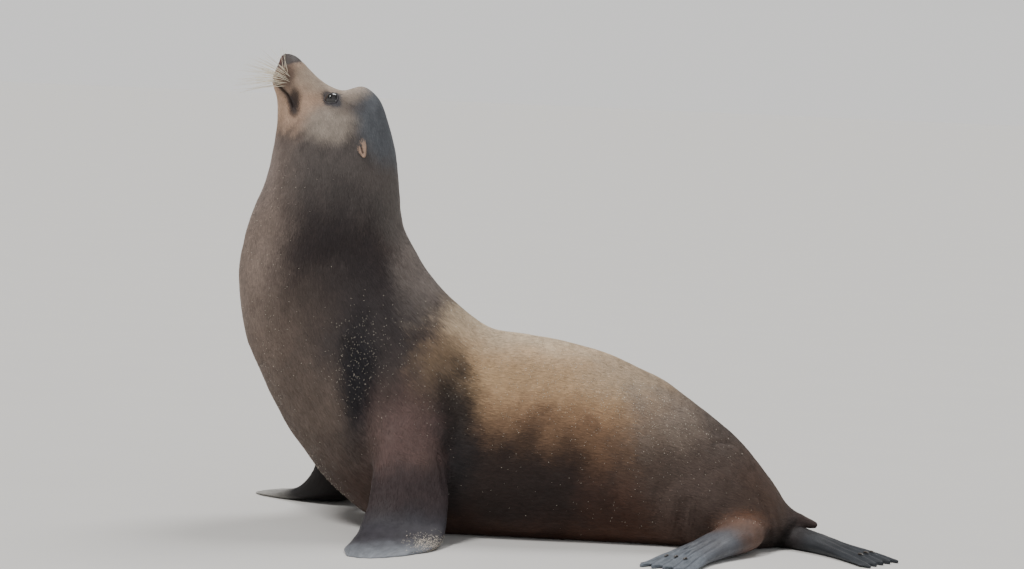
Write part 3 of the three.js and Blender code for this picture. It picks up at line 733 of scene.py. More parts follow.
def soften(points, edges, weight, rounds):
    """Each point moves towards the middle of its neighbours, by its weight, a number of rounds."""
    a, b = edges.T
    count = len(points)
    degree = np.maximum(np.bincount(a, minlength=count) + np.bincount(b, minlength=count), 1)
    for _ in range(rounds):
        for k in range(3):
            total = np.bincount(a, points[b, k], count) + np.bincount(b, points[a, k], count)
            points[:, k] += weight * (total / degree - points[:, k])
    return points


def drop(thing):
    """An object and its mesh are deleted."""
    mesh = thing.data
    bpy.data.objects.remove(thing)
    bpy.data.meshes.remove(mesh)


def join_by_union(first, others):
    """One closed mesh from many: `first` grows to hold the others."""
    for other in others:
        step = first.modifiers.new("join", "BOOLEAN")
        step.operation = "UNION"
        step.solver = "MANIFOLD"
        step.object = other
    bpy.context.view_layer.update()
    whole = bpy.data.meshes.new_from_object(first.evaluated_get(bpy.context.evaluated_depsgraph_get()))
    first.modifiers.clear()
    first.data = whole
    for other in others:
        drop(other)


def ear_frame(turn):
    """Root and tip of an ear, the way it runs, across it and out of the head."""
    side = np.array([1, turn, 1])
    root, tip = np.array(EAR_ROOT) * MM * side, np.array(EAR_TIP) * MM * side
    onward = unit(tip - root)
    sideways = unit(np.cross(np.array([-0.2, turn * -1.0, 0.1]), onward))
    return root, tip, sideways, np.cross(onward, sideways)


def ear_surface(turn, t, angle):
    """A leaf rolled up so far that its edges nearly meet in a slit, t from 0 at the root to 1."""
    root, tip, sideways, outward = ear_frame(turn)
    taper = np.sqrt(np.clip(1 - (np.abs(t - 0.3) / 0.74) ** 2.2, 0, 1)) * (1 - 0.3 * smooth(t, 0.3, 1))
    half, thick = EAR_HALF_WIDTH * taper, EAR_HALF_THICK * (0.35 + 0.65 * taper)
    across = np.cos(angle) * half
    slit = bell(across, EAR_SLIT_WIDTH) * smooth(t, 0.12, 0.35) * (1 - smooth(t, 0.75, 0.95))
    rise = np.sin(angle) * thick * (1 - 0.85 * slit * (np.sin(angle) > 0))
    middle = root + (tip - root) * t[:, None] - outward * (EAR_SUNK * (1 - smooth(t, -0.1, 0.6)))[:, None]
    return middle + sideways * across[:, None] + outward * rise[:, None]


def surface_of(name):
    """A part's furred surface, as a function of the place along it and the angle round it."""
    if name == "body":
        return lambda t, a: body_surface(t, a, COAT_DEPTH)
    if name == "tail":
        return lambda t, a: tail_surface(t, a, COAT_DEPTH)
    if name in EARS:
        return lambda t, a: ear_surface(1 if name == "left_ear" else -1, t, a)
    return lambda t, a: limb_surface(name, t, a, COAT_DEPTH)


# ---------- one skin ----------
def section_places(stretches):
    """Places along the body: a number of steps for each section of each stretch."""
    places = []
    for start, end, steps in stretches:
        low, high = BODY_NAMES.index(start), BODY_NAMES.index(end)
        places += list(np.linspace(low, high, (high - low) * steps, endpoint=False))
    return places + [len(BODY_NAMES) - 1]


BODY_PLACES = section_places((
    ("nose tip", "stop", 6), ("stop", "occiput", 11),
    ("occiput", "withers", 11), ("withers", "tail root", 13)))
skin = domed_mesh("body", BODY_PLACES, BODY_SIDES, BODY_DOME)
grown = {}
for name in LIMBS:
    grown[name] = limb_mesh(name, *(FORE_FINENESS if name in FORE else HIND_FINENESS))
for name, (rings, sides, dome) in SMALL_PARTS.items():
    grown[name] = domed_mesh(name, np.linspace(0, 1, rings), sides, dome)

trees = {name: tree_of(thing.data) for name, thing in grown.items()}
grown_points = {name: mesh_points(thing.data) for name, thing in grown.items()}
trees["body"] = tree_of(skin.data)
join_by_union(skin, list(grown.values()))
skin.name = "skin"


def seam_points(points):
    """Numbers of the joined mesh's points that lie on two parts at once, by part."""
    found = {}
    for name in SEAM_REACH:
        part_points = grown_points[name]
        low, high = part_points.min(0) - SEAM_TOUCH, part_points.max(0) + SEAM_TOUCH
        inside = np.flatnonzero(((points > low) & (points < high)).all(1))
        found[name] = [
            i for i in inside
            if trees[name].find_nearest(points[i], SEAM_TOUCH)[0] is not None
            and trees["body"].find_nearest(points[i], SEAM_TOUCH)[0] is not None
        ]
    return found


def kd_tree(points):
    """A search tree for the nearest of some points."""
    tree = KDTree(len(points))
    for i, point in enumerate(points.tolist()):
        tree.insert(point, i)
    tree.balance()
    return tree


def merge_seams(mesh, numbers):
    """The many short edges along the seams are closed up."""
    def close_up(bm):
        chosen = {bm.verts[i] for i in numbers}
        chosen |= {edge.other_vert(vert) for vert in list(chosen) for edge in vert.link_edges}
        bmesh.ops.remove_doubles(bm, verts=list(chosen), dist=SEAM_MERGE)
        bmesh.ops.dissolve_degenerate(bm, edges=bm.edges[:], dist=1e-6)

    reworked(mesh, close_up)


def seam_weights(points, seams):
    """How far each point takes part in the rounding of the seams, 0 to 1."""
    weight = np.zeros(len(points))
    for name, tree in seams.items():
        reach = SEAM_REACH[name]
        low, high = seam_boxes[name]
        for i in np.flatnonzero(((points > low - reach) & (points < high + reach)).all(1)):
            away = tree.find(points[i])[2] / reach
            if away < 1:
                weight[i] = max(weight[i], (1 - away * away) ** 2)
    return weight


mesh = skin.data
joined = mesh_points(mesh)
on_seams = seam_points(joined)
seam_trees = {name: kd_tree(joined[numbers]) for name, numbers in on_seams.items()}
seam_boxes = {name: (joined[numbers].min(0), joined[numbers].max(0)) for name, numbers in on_seams.items()}
merge_seams(mesh, [i for numbers in on_seams.values() for i in numbers])
points = mesh_points(mesh)
points = soften(points, mesh_edges(mesh), SEAM_PULL * seam_weights(points, seam_trees), SEAM_ROUNDS)
set_points(mesh, points)

# ---------- finer faces where the head's features are ----------
def polyline(rows, per=8):
    """A smooth line through a few points."""
    rows = np.array(rows, float) * MM
    return along_curve(rows, np.linspace(0, len(rows) - 1, (len(rows) - 1) * per + 1))


def line_distance(points, line):
    """Distance from each point to a polyline, and how far along it from 0 to 1."""
    best = np.full(len(points), 1e9)
    place = np.zeros(len(points))
    for k in range(len(line) - 1):
        start, step = line[k], line[k + 1] - line[k]
        f = np.clip(((points - start) @ step) / (step @ step), 0, 1)
        away = np.linalg.norm(points - start - f[:, None] * step, axis=1)
        nearer = away < best
        best[nearer] = away[nearer]
        place[nearer] = (k + f[nearer]) / (len(line) - 1)
    return best, place


MOUTH_LINE = polyline(MOUTH_PLACES)
NOSTRIL_LINES = [polyline([(x, y * turn, z) for x, y, z in NOSTRIL_PLACES]) for turn in BOTH]
EAR_SLITS = []
for turn in BOTH:
    root, tip, _, outward = ear_frame(turn)
    EAR_SLITS.append(np.array([root + (tip - root) * t + outward * 0.002 for t in (0.35, 0.8)]))


def eye_frame(turn):
    """Middle of an eyeball, the way it looks, the long axis of its opening and the axis to the crown."""
    side = np.array([1, turn, 1])
    looks = unit(np.array(EYE_LOOKS) * side)
    long_way = np.array(EYE_LONG) * side
    long_way = unit(long_way - looks * (long_way @ looks))
    crown_way = np.cross(looks, long_way)
    if crown_way[0] < 0:
        crown_way = -crown_way
    return np.array(EYE_AT) * MM * side, looks, long_way, crown_way


def opening_ratio(points, turn):
    """1 on the edge of the eye's opening, less inside it and more outside."""
    middle, looks, long_way, crown_way = eye_frame(turn)
    away = points - middle
    u = away @ long_way / EYE_OPENING[0]
    v = away @ crown_way / EYE_OPENING[1]
    narrowing = 1 - 0.28 * np.clip(np.abs(u), 0, 1) ** 2
    ratio = np.hypot(u, v / narrowing)
    return np.where(away @ looks > 0, ratio, 99.0), v


def mouth_distance(points):
    """Distance from the line of the mouth, seen from the side, and how far along it."""
    return line_distance(points[:, [0, 2]], MOUTH_LINE)


def whisker_roots(turn):
    """Places of the whiskers on one side of the muzzle, before they are put on the skin."""
    roots = []
    for row in range(WHISKER_ROWS):
        for column in range(WHISKER_COLUMNS):
            if row in (0, WHISKER_ROWS - 1) and column == WHISKER_COLUMNS - 1:
                continue
            step = column + 0.5 * (row % 2)
            x = WHISKER_START[0] + PAD_STEP * (row * PAD_UP[0] + step * PAD_BACK[0])
            z = WHISKER_START[1] + PAD_STEP * (row * PAD_UP[1] + step * PAD_BACK[1])
            start = Vector((x * MM, -0.2 * turn, z * MM))
            place, normal, _, _ = skin_tree.ray_cast(start, Vector((0, turn, 0)))
            if place is not None:
                roots.append((row, column, np.array(place), np.array(normal)))
    return roots


def refine(mesh, wanted):
    """Faces whose points are all wanted are cut in four."""
    def cut(bm):
        chosen = [edge for edge in bm.edges if all(wanted[vert.index] for vert in edge.verts)]
        bmesh.ops.subdivide_edges(bm, edges=chosen, cuts=1, use_grid_fill=True)

    reworked(mesh, cut)


def feature_distance(points):
    """Distance to the nearest thing on the head that needs fine faces."""
    best = np.full(len(points), 9.0)
    head = np.flatnonzero(points[:, 2] > HEAD_ABOVE)
    near = points[head]
    away = mouth_distance(near)[0] - 0.004
    for line in NOSTRIL_LINES:
        away = np.minimum(away, line_distance(near, line)[0] - 0.004)
    for turn in BOTH:
        ratio = opening_ratio(near, turn)[0]
        away = np.minimum(away, (ratio - 1.9) * EYE_OPENING[1])
    best[head] = away
    return best


refine(mesh, feature_distance(mesh_points(mesh)) < FINE_REACH)
refine(mesh, feature_distance(mesh_points(mesh)) < 0.0)
points = mesh_points(mesh)
fine = 1 - smooth(feature_distance(points), FINE_REACH, FINE_BLEND)
points = soften(points, mesh_edges(mesh), 0.5 * fine, 6)
set_points(mesh, points)
skin_tree = tree_of(mesh)
whisker_places = {turn: whisker_roots(turn) for turn in BOTH}


# ---------- folds, lids, lips and nostrils ----------
def groove(away, along, width, depth):
    """Height of a groove that fades at its ends, with soft swollen sides."""
    fade = smooth(along, 0, 0.15) * (1 - smooth(along, 0.85, 1.0))
    return fade * depth * (BANK_RISE * bell(away - 2.2 * width, width) - bell(away, width))


def side_groove(points, normals, places, turns, width, depth):
    """A groove drawn on the animal's side as (x, z) places, on its left (1), its right (-1) or both."""
    line = polyline(places)
    low, high = line.min(0) - 4 * width, line.max(0) + 4 * width
    flat = points[:, [0, 2]]
    lift = np.zeros(len(points))
    close = np.flatnonzero(((flat > low) & (flat < high)).all(1))
    away, along = line_distance(flat[close], line)
    for turn in turns:
        facing = smooth(-turn * normals[close, 1], 0.15, 0.45)
        lift[close] += groove(away, along, width, depth) * facing
    return lift


def head_details(points, normals):
    """Heights of the mouth, nostrils, nose leather and whisker pad."""
    lift = np.zeros(len(points))
    head = np.flatnonzero(points[:, 2] > HEAD_ABOVE)
    p, n = points[head], normals[head]
    away, along = mouth_distance(p)
    fade = 1 - smooth(along, 0.86, 1.0)
    above = (p[:, [0, 2]] - MOUTH_LINE[0]) @ np.array(PAD_UP) > 0
    lips = LIP_RISE * bell(away - LIP_AWAY, LIP_SOFT) * np.where(above, 1.3, 0.8)
    change = fade * (lips - MOUTH_DEPTH * bell(away, MOUTH_WIDTH))
    for line in NOSTRIL_LINES:
        away, along = line_distance(p, line)
        opening = bell(away, NOSTRIL_WIDTH * (1.15 - along))
        change += NOSTRIL_RIM * bell(away - NOSTRIL_RIM_AWAY, NOSTRIL_RIM_SOFT) - NOSTRIL_DEPTH * opening
    edge = nose_height(p)
    change -= LEATHER_STEP * bell(edge + 0.001, LEATHER_SOFT) * smooth(p[:, 2], 1.125, 1.14)
    front = smooth(-n[:, 0], 0.2, 0.6) * smooth(p[:, 2], 1.105, 1.12) * (1 - smooth(p[:, 2], 1.145, 1.155))
    change -= PHILTRUM_DEPTH * bell(p[:, 1], PHILTRUM_WIDTH) * front
    for turn in BOTH:
        for _, _, root, _ in whisker_places[turn]:
            change += FOLLICLE_RISE * bell(np.linalg.norm(p - root, axis=1), FOLLICLE_WIDTH)
    lift[head] = change
    return lift


def nose_height(points):
    """Height of points over the plane where nose leather starts, squared to the leather's lie."""
    start, end = np.array(NOSE_EDGE[0]) * MM, np.array(NOSE_EDGE[1]) * MM
    way = unit(end - start)
    return (points[:, [0, 2]] - start) @ np.array([-way[1], way[0]])


def shape_lids(points, turn):
    """Skin in the eye's opening drops behind the ball, and the lids hug it."""
    middle = eye_frame(turn)[0]
    near = np.flatnonzero(np.linalg.norm(points - middle, axis=1) < LIDS_REACH)
    ratio, v = opening_ratio(points[near], turn)
    inside = ratio < 2.4
    near, ratio, v = near[inside], ratio[inside], v[inside]
    outward = unit(points[near] - middle)
    distance = np.linalg.norm(points[near] - middle, axis=1)
    lid = EYE_RADIUS * MM + LID_THICK + LID_RIM * bell(ratio - 1.16, 0.12)
    socket = EYE_RADIUS * MM - SOCKET_DEPTH
    rim = socket + (lid - socket) * smooth(ratio, 0.9, 1.04)
    beyond = smooth(ratio, 1.2, 2.1)
    reach = rim * (1 - beyond) + distance * beyond
    fold = np.where(v > 0, LID_FOLD_ABOVE, LID_FOLD_BELOW) * bell(ratio - np.where(v > 0, 1.5, 1.62), 0.1)
    points[near] = middle + outward * (reach - fold)[:, None]
    return points


def body_folds(points, normals):
    """Heights of all the folds of the body."""
    lift = np.zeros(len(points))
    for places, turns, width, depth in FOLDS:
        lift += side_groove(points, normals, places, turns, width, depth)
    return lift


def natural_unevenness(points):
    """Slight lumps of fat and muscle, less on the head."""
    calm = 1 - smooth(points[:, 2], 0.85, 1.0)
    return ripples(points, LUMPS) * (0.25 + 0.75 * calm)


points = mesh_points(mesh)
normals = mesh_normals(mesh)
high_enough = smooth(points[:, 2], 0.004, 0.03)
lift = high_enough * (body_folds(points, normals) + natural_unevenness(points))
lift += head_details(points, normals)
points = points + normals * lift[:, None]
for turn in BOTH:
    points = shape_lids(points, turn)
points[:, 2] = np.maximum(points[:, 2], FLOOR_CLEAR)
set_points(mesh, points)
skin_tree = tree_of(mesh)

# ---------- markings, painted shade and painted highlights ---
def linear(colour):
    """Linear light values of a colour given in 0 to 255 screen values."""
    value = np.array(colour, float) / 255
    return np.where(value < 0.04045, value / 12.92, ((value + 0.055) / 1.055) ** 2.4)


def blend(base, colour, amount):
    """Colours brought towards another by an amount from 0 to 1."""
    return base + (linear(colour) - base) * amount[:, None]


def bare_amount(points, part, place):
    """1 where the hide has no fur: nose, lips, rims of the eyes and blades of the flippers."""
    bare = np.zeros(len(points))
    for name, (low, high) in BARE_FROM.items():
        on_part = part == PARTS.index(name)
        bare[on_part] = smooth(place[on_part], low, high)
    head = np.flatnonzero(points[:, 2] > HEAD_ABOVE)
    p = points[head]
    amount = smooth(nose_height(p), -0.001, 0.002) * smooth(p[:, 2], 1.12, 1.135)
    lips, along = mouth_distance(p)
    amount = np.maximum(amount, 1 - smooth(lips, 0.003, 0.005 + 0.003 * along))
    for turn in BOTH:
        amount = np.maximum(amount, 1 - smooth(opening_ratio(p, turn)[0], 1.18, 1.32))
    bare[head] = np.maximum(bare[head], amount)
    return bare


def furrow_shade(name, points, place):
    """Painted shade between the digits of a flipper, darker where its ridges part."""
    digits = LIMBS[name]["digits"]
    f = limb_frame(LIMBS[name], place)
    across = ((points - f["middle"]) * f["chord"]).sum(1) / f["half"]
    on_digit = -np.cos(math.pi * digits["count"] * (across + 1))
    return 1 - FURROW_PAINTED_SHADE * np.sqrt(f["spread"]) * smooth(-on_digit, -0.2, 1.0)


def coat_colour(points, part, place):
    """Colour of skin or hair at places on the animal, in linear light, with painted shade and painted
    highlights laid in.
    """
    colour = np.tile(linear(BASE_COLOUR), (len(points), 1))
    ragged = ripples(points, RAGGED_EDGES)
    level = points.copy()
    level[:, 1] = np.abs(points[:, 1])
    for tone, centre, radii, edge, amount in MARKINGS_AND_PAINTED_LIGHT:
        away = np.linalg.norm((level - np.array(centre) * MM) / (np.array(radii) * MM), axis=1)
        away += ragged * edge
        colour = blend(colour, tone, amount * (1 - smooth(away, 1 - edge, 1 + edge)))
    for names, low, high, tone, amount in LIMB_TONES:
        for name in names:
            on_part = part == PARTS.index(name)
            reach = place[on_part] + 0.5 * ragged[on_part]
            colour[on_part] = blend(colour[on_part], tone, amount * smooth(reach, low, high))
    head = np.flatnonzero(points[:, 2] > HEAD_ABOVE)
    p = points[head]
    face = colour[head]
    lips, along = mouth_distance(p)
    face = blend(face, LIP_COLOUR, 0.85 * (1 - smooth(lips, 0.002, 0.004 + 0.016 * along ** 1.5)))
    for turn in BOTH:
        ratio, _ = opening_ratio(p, turn)
        face = blend(face, LID_COLOUR, 0.85 * (1 - smooth(ratio + 0.4 * ragged[head], 1.55, 2.3)))
    for line in EAR_SLITS:
        face = blend(face, LIP_COLOUR, 0.9 * (1 - smooth(line_distance(p, line)[0], 0.0018, 0.0045)))
    leather = smooth(nose_height(p) + 0.006 * ragged[head], -0.002, 0.005) * smooth(p[:, 2], 1.12, 1.135)
    face = blend(face, NOSE_COLOUR, 0.95 * leather)
    for line in NOSTRIL_LINES:
        away, _ = line_distance(p, line)
        face = blend(face, NOSTRIL_RIM_COLOUR, 0.7 * leather * (1 - smooth(away, 0.003, 0.011)))
        face = blend(face, NOSTRIL_COLOUR, 1 - smooth(away, 0.001, 0.003))
    colour[head] = face
    # painted shade in the furrows of the hind flippers
    for name in HIND:
        on_part = part == PARTS.index(name)
        colour[on_part] *= furrow_shade(name, points[on_part], place[on_part])[:, None]
    shade = 1 + ripples(points, MOTTLING)
    return np.clip(colour * shade[:, None], 0.004, 0.95)


def corner_places(mesh):
    """Part number and place along it for each point, from the map kept through the joining."""
    corner_point = np.empty(len(mesh.loops), np.int32)
    mesh.loops.foreach_get("vertex_index", corner_point)
    values = read(mesh.uv_layers["place"].uv, "vector", 2)
    found = np.zeros((len(mesh.vertices), 2))
    found[corner_point] = values
    return np.round(found[:, 0]).astype(int), found[:, 1]


def add_colours(mesh, colour):
    """The coat's colour at each point."""
    layer = mesh.color_attributes.new("coat", "FLOAT_COLOR", "POINT")
    opaque = np.concatenate([colour, np.ones((len(colour), 1))], 1)
    layer.data.foreach_set("color", opaque.astype(np.float32).ravel())


def add_numbers(mesh, name, values):
    """A named number at each point."""
    mesh.attributes.new(name, "FLOAT", "POINT").data.foreach_set("value", values.astype(np.float32))


def add_vectors(mesh, name, values):
    """A named vector at each point."""
    layer = mesh.attributes.new(name, "FLOAT_VECTOR", "POINT")
    layer.data.foreach_set("vector", values.astype(np.float32).ravel())


points = mesh_points(mesh)
part, place = corner_places(mesh)
bare = bare_amount(points, part, place)
skin_colour = coat_colour(points, part, place)
under_fur = 1 - SKIN_SHADE * (1 - bare)
add_colours(mesh, skin_colour * under_fur[:, None])
add_numbers(mesh, "bare", bare)
mesh.uv_layers.remove(mesh.uv_layers["place"])
mesh.polygons.foreach_set("use_smooth", np.ones(len(mesh.polygons), bool))


# ---------- materials ----------
class Look:
    """A node material, put together one node at a time."""

    def __init__(self, name, **settings):
        self.material = bpy.data.materials.new(name)
        self.material.use_nodes = True
        self.tree = self.material.node_tree
        self.shader = self.tree.nodes["Principled BSDF"]
        for key, value in settings.items():
            self.shader.inputs[key.replace("_", " ")].default_value = value

    def node(self, kind, inputs=(), **settings):
        made = self.tree.nodes.new("ShaderNode" + kind)
        for key, value in settings.items():
            setattr(made, key, value)
        for key, value in dict(inputs).items():
            self.feed(made.inputs[key], value)
        return made

    def feed(self, socket, value):
        if isinstance(value, bpy.types.NodeSocket):
            self.tree.links.new(value, socket)
        else:
            socket.default_value = value

    def maths(self, operation, a, b):
        return self.node("Math", {0: a, 1: b}, operation=operation).outputs[0]

    def between(self, amount, low, high):
        return self.node("MapRange", {"Value": amount, "To Min": low, "To Max": high}).outputs["Result"]

    def noise(self, vector, scale, detail=4.0, roughness=0.55):
        inputs = {"Vector": vector, "Scale": scale, "Detail": detail, "Roughness": roughness}
        return self.node("TexNoise", inputs).outputs["Fac"]

    def stretched(self, vector, scale):
        inputs = {"Vector": vector, "Scale": scale, "Rotation": (0.5, 0.6, 0.7)}
        return self.node("Mapping", inputs).outputs["Vector"]

    def darkened(self, colour, factor):
        """A colour times a grey factor."""
        grey = self.node("CombineColor", {"Red": factor, "Green": factor, "Blue": factor}).outputs["Color"]
        mixed = self.node("Mix", {"Factor": 1.0, 6: colour, 7: grey}, data_type="RGBA", blend_type="MULTIPLY")
        return mixed.outputs[2]

    def mixed(self, factor, a, b):
        return self.node("Mix", {"Factor": factor, 6: a, 7: b}, data_type="RGBA").outputs[2]

    def bump(self, height, distance, strength=1.0):
        inputs = {"Height": height, "Distance": distance, "Strength": strength}
        return self.node("Bump", inputs).outputs["Normal"]

    def spot(self):
        return self.node("TexCoord").outputs["Object"]

    def kept(self, name, output):
        """A value kept on the mesh's points."""
        return self.node("Attribute", attribute_name=name).outputs[output]

    def finish(self, **links):
        for key, value in links.items():
            self.feed(self.shader.inputs[key.replace("_", " ")], value)
        return self.material


def skin_look():
    """Short hair in strands and locks, and wrinkled bare hide on the flippers and nose."""
    look = Look("sea_lion_skin", Sheen_Weight=0.02, Sheen_Roughness=0.45, Specular_IOR_Level=0.3)
    spot = look.spot()
    lie = look.node("UVMap", uv_map="comb").outputs["UV"]
    coat = look.kept("coat", "Color")
    bare = look.kept("bare", "Fac")
    furred = look.maths("SUBTRACT", 1.0, bare)
    strands = look.noise(look.stretched(lie, (55.0, 900.0, 1.0)), 1.0, 3.0)
    locks = look.noise(look.stretched(lie, (26.0, 260.0, 1.0)), 1.0, 3.0)
    blotches = look.noise(spot, 38.0, 5.0)
    wrinkles = look.noise(look.stretched(lie, (14.0, 130.0, 1.0)), 1.0, 5.0, 0.6)
    cells = look.node("TexVoronoi", {"Vector": spot, "Scale": 420.0}, feature="DISTANCE_TO_EDGE")
    pores = look.between(cells.outputs["Distance"], 0.0, 1.0)
    hair_tone = look.maths("ADD", look.between(strands, 0.8, 1.2), look.between(locks, -0.12, 0.12))
    hide_tone = look.between(wrinkles, 0.6, 1.4)
    fur_part = look.maths("MULTIPLY", hair_tone, furred)
    tone = look.maths("ADD", fur_part, look.maths("MULTIPLY", hide_tone, bare))
    tone = look.maths("MULTIPLY", tone, look.between(blotches, 0.92, 1.08))
    height = look.maths("ADD", look.maths("MULTIPLY", look.maths("ADD", strands, locks), furred),
                        look.maths("MULTIPLY", look.maths("ADD", wrinkles, pores), bare))
    rough = look.maths("SUBTRACT", look.between(blotches, 0.56, 0.74), look.maths("MULTIPLY", bare, 0.2))
    relief = look.bump(height, 0.0006)
    return look.finish(Base_Color=look.darkened(coat, tone), Roughness=rough, Normal=relief)


def coat_look():
    """The tufts of fur."""
    look = Look("sea_lion_fur", Sheen_Weight=0.03, Sheen_Roughness=0.4, Specular_IOR_Level=0.22)
    spot = look.spot()
    coat = look.kept("coat", "Color")
    strands = look.noise(spot, 900.0, 2.0)
    tone = look.between(strands, 0.86, 1.14)
    rough = look.between(look.noise(spot, 60.0), 0.5, 0.68)
    relief = look.bump(strands, 0.0001, 0.5)
    return look.finish(Base_Color=look.darkened(coat, tone), Roughness=rough, Normal=relief)


def eye_look():
    """Wet and nearly black, with a brown-black iris round a black pupil."""
    look = Look("sea_lion_eye", Coat_Weight=0.7, Coat_Roughness=0.1, Specular_IOR_Level=0.4)
    gaze = look.kept("gaze", "Vector")
    parts = look.node("SeparateXYZ", {"Vector": gaze})
    fibres = look.noise(look.stretched(gaze, (6.0, 26.0, 26.0)), 1.0, 3.0)
    iris = look.mixed(fibres, (0.008, 0.008, 0.010, 1), (0.034, 0.028, 0.026, 1))
    pupil = look.between(parts.outputs["X"], 0.0, 1.0)
    ramp = look.node("ValToRGB", {"Fac": pupil})
    stops = ramp.color_ramp.elements
    stops[0].position, stops[0].color = 0.26, (0, 0, 0, 1)
    stops[1].position, stops[1].color = 0.32, (1, 1, 1, 1)
    iris_end = stops.new(0.62)
    iris_end.color = (1, 1, 1, 1)
    rim = stops.new(0.7)
    rim.color = (0.25, 0.25, 0.25, 1)
    inner = look.mixed(ramp.outputs["Color"], (0.003, 0.003, 0.004, 1), iris)
    veins = look.noise(look.stretched(gaze, (3.0, 9.0, 9.0)), 1.0, 5.0)
    rough = look.between(veins, 0.08, 0.16)
    return look.finish(Base_Color=inner, Roughness=rough)


def claw_look():
    """Dark streaked horn."""
    look = Look("sea_lion_claw", Coat_Weight=0.2, Coat_Roughness=0.3)
    spot = look.spot()
    grain = look.noise(look.stretched(spot, (160.0, 60.0, 260.0)), 1.0, 5.0)
    colour = look.mixed(grain, (0.035, 0.030, 0.027, 1), (0.13, 0.11, 0.095, 1))
    rough = look.between(grain, 0.3, 0.55)
    return look.finish(Base_Color=colour, Roughness=rough, Normal=look.bump(grain, 0.0003))


def whisker_look():
    """Straw-coloured hair, dark at its root."""
    look = Look("sea_lion_whisker", Specular_IOR_Level=0.5)
    spot = look.spot()
    grain = look.noise(spot, 240.0, 2.0)
    root = look.kept("root", "Fac")
    hair = look.mixed(grain, (0.80, 0.70, 0.52, 1), (0.93, 0.88, 0.76, 1))
    colour = look.mixed(root, hair, (0.20, 0.13, 0.09, 1))
    return look.finish(Base_Color=colour, Roughness=look.between(grain, 0.3, 0.45))


mesh.materials.clear()
mesh.materials.append(skin_look())


# ---------- pieces of their own ----------
def placed_piece(name, piece_mesh):
    """A piece in the frame's place that rides on the body."""
    piece = in_scene(name, piece_mesh)
    piece.location = -Vector(CENTRE)
    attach(piece, "root")
    return piece


def new_piece(name, points, faces, look):
    """A smooth piece made from points and faces."""
    piece_mesh = bpy.data.meshes.new(name)
    piece_mesh.from_pydata(np.asarray(points).tolist(), [], faces)
    face_outward(piece_mesh)
    piece_mesh.polygons.foreach_set("use_smooth", np.ones(len(piece_mesh.polygons), bool))
    piece_mesh.materials.append(look)
    return placed_piece(name, piece_mesh)


def tube_faces(rings, sides, start):
    """Faces of a closed tube whose rings begin at point number `start`."""
    faces = [list(range(start, start + sides))[::-1]]
    for r in range(rings - 1):
        low = start + r * sides
        faces += [[low + s, low + (s + 1) % sides, low + sides + (s + 1) % sides, low + sides + s]
                  for s in range(sides)]
    last = start + (rings - 1) * sides
    faces.append(list(range(last, last + sides)))
    return faces


def tube_points(path, radii, sides, flat=1.0, up=(0.0, 0.0, 1.0)):
    """Rings round a path, a little flattened along `up` if wanted."""
    points = []
    for k, middle in enumerate(path):
        onward = unit(path[min(k + 1, len(path) - 1)] - path[max(k - 1, 0)])
        sideways = unit(np.cross(onward, up))
        upward = np.cross(sideways, onward)
        for s in range(sides):
            angle = 2 * math.pi * s / sides
            points.append(middle + (sideways * math.cos(angle) + upward * math.sin(angle) * flat) * radii[k])
    return points


def make_eye(name, turn, look):
    """An eyeball with a raised clear front, its mesh in rings round the way it looks."""
    middle, looks, long_way, crown_way = eye_frame(turn)
    rows, sides = EYE_RINGS, EYE_SIDES
    points, gaze = [middle + looks * (EYE_RADIUS * MM + CORNEA)], [(0.0, 0.0, 0.0)]
    for r in range(1, rows):
        fall = math.pi * r / rows
        radius = EYE_RADIUS * MM + CORNEA * bell(fall, 0.5)
        for s in range(sides):
            angle = 2 * math.pi * s / sides
            around = long_way * math.cos(angle) + crown_way * math.sin(angle)
            points.append(middle + (looks * math.cos(fall) + around * math.sin(fall)) * radius)
            gaze.append((fall, math.cos(angle), math.sin(angle)))
    points.append(middle - looks * EYE_RADIUS * MM)
    gaze.append((math.pi, 0.0, 0.0))
    faces = [[0, 1 + s, 1 + (s + 1) % sides] for s in range(sides)]
    for r in range(rows - 2):
        low = 1 + r * sides
        faces += [[low + s, low + sides + s, low + sides + (s + 1) % sides, low + (s + 1) % sides]
                  for s in range(sides)]
    low = 1 + (rows - 2) * sides
    faces += [[low + s, len(points) - 1, low + (s + 1) % sides] for s in range(sides)]
    piece = new_piece(name + "_ball", points, faces, look)
    add_vectors(piece.data, "gaze", np.array(gaze))
    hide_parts(name)


def make_claw(name, limb_name, number, look):
    """A slightly arched claw, wide and low at its root."""
    limb = LIMBS[limb_name]
    count = limb["digits"]["count"]
    across = (2 * number - 1) / count - 1
    height = (1 - abs(across) ** LIMB_FULLNESS) ** (1 / LIMB_FULLNESS)
    f = limb_frame(limb, np.array([CLAW_PLACE]))
    on_top = limb_point(f, limb["digits"], np.array([across]), np.array([height]), 0.0)[0]
    onward, upward = f["onward"][0], f["upward"][0]
    steps = np.linspace(0, 1, CLAW_RINGS)
    arch = CLAW_ARCH * np.sin(math.pi * steps) - CLAW_SUNK + CLAW_RISE * steps
    path = on_top + onward * (steps * CLAW_LENGTH)[:, None] + upward * arch[:, None]
    rounding = np.sqrt(np.clip(1.02 - steps ** 10, 0, 1)) * smooth(steps, -0.3, 0.2)
    radii = CLAW_RADIUS * (1 - 0.72 * steps ** 1.6) * rounding
    points = tube_points(path, radii, CLAW_SIDES, 0.7, upward)
    piece = new_piece(name + "_horn", points, tube_faces(CLAW_RINGS, CLAW_SIDES, 0), look)
    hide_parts(name)


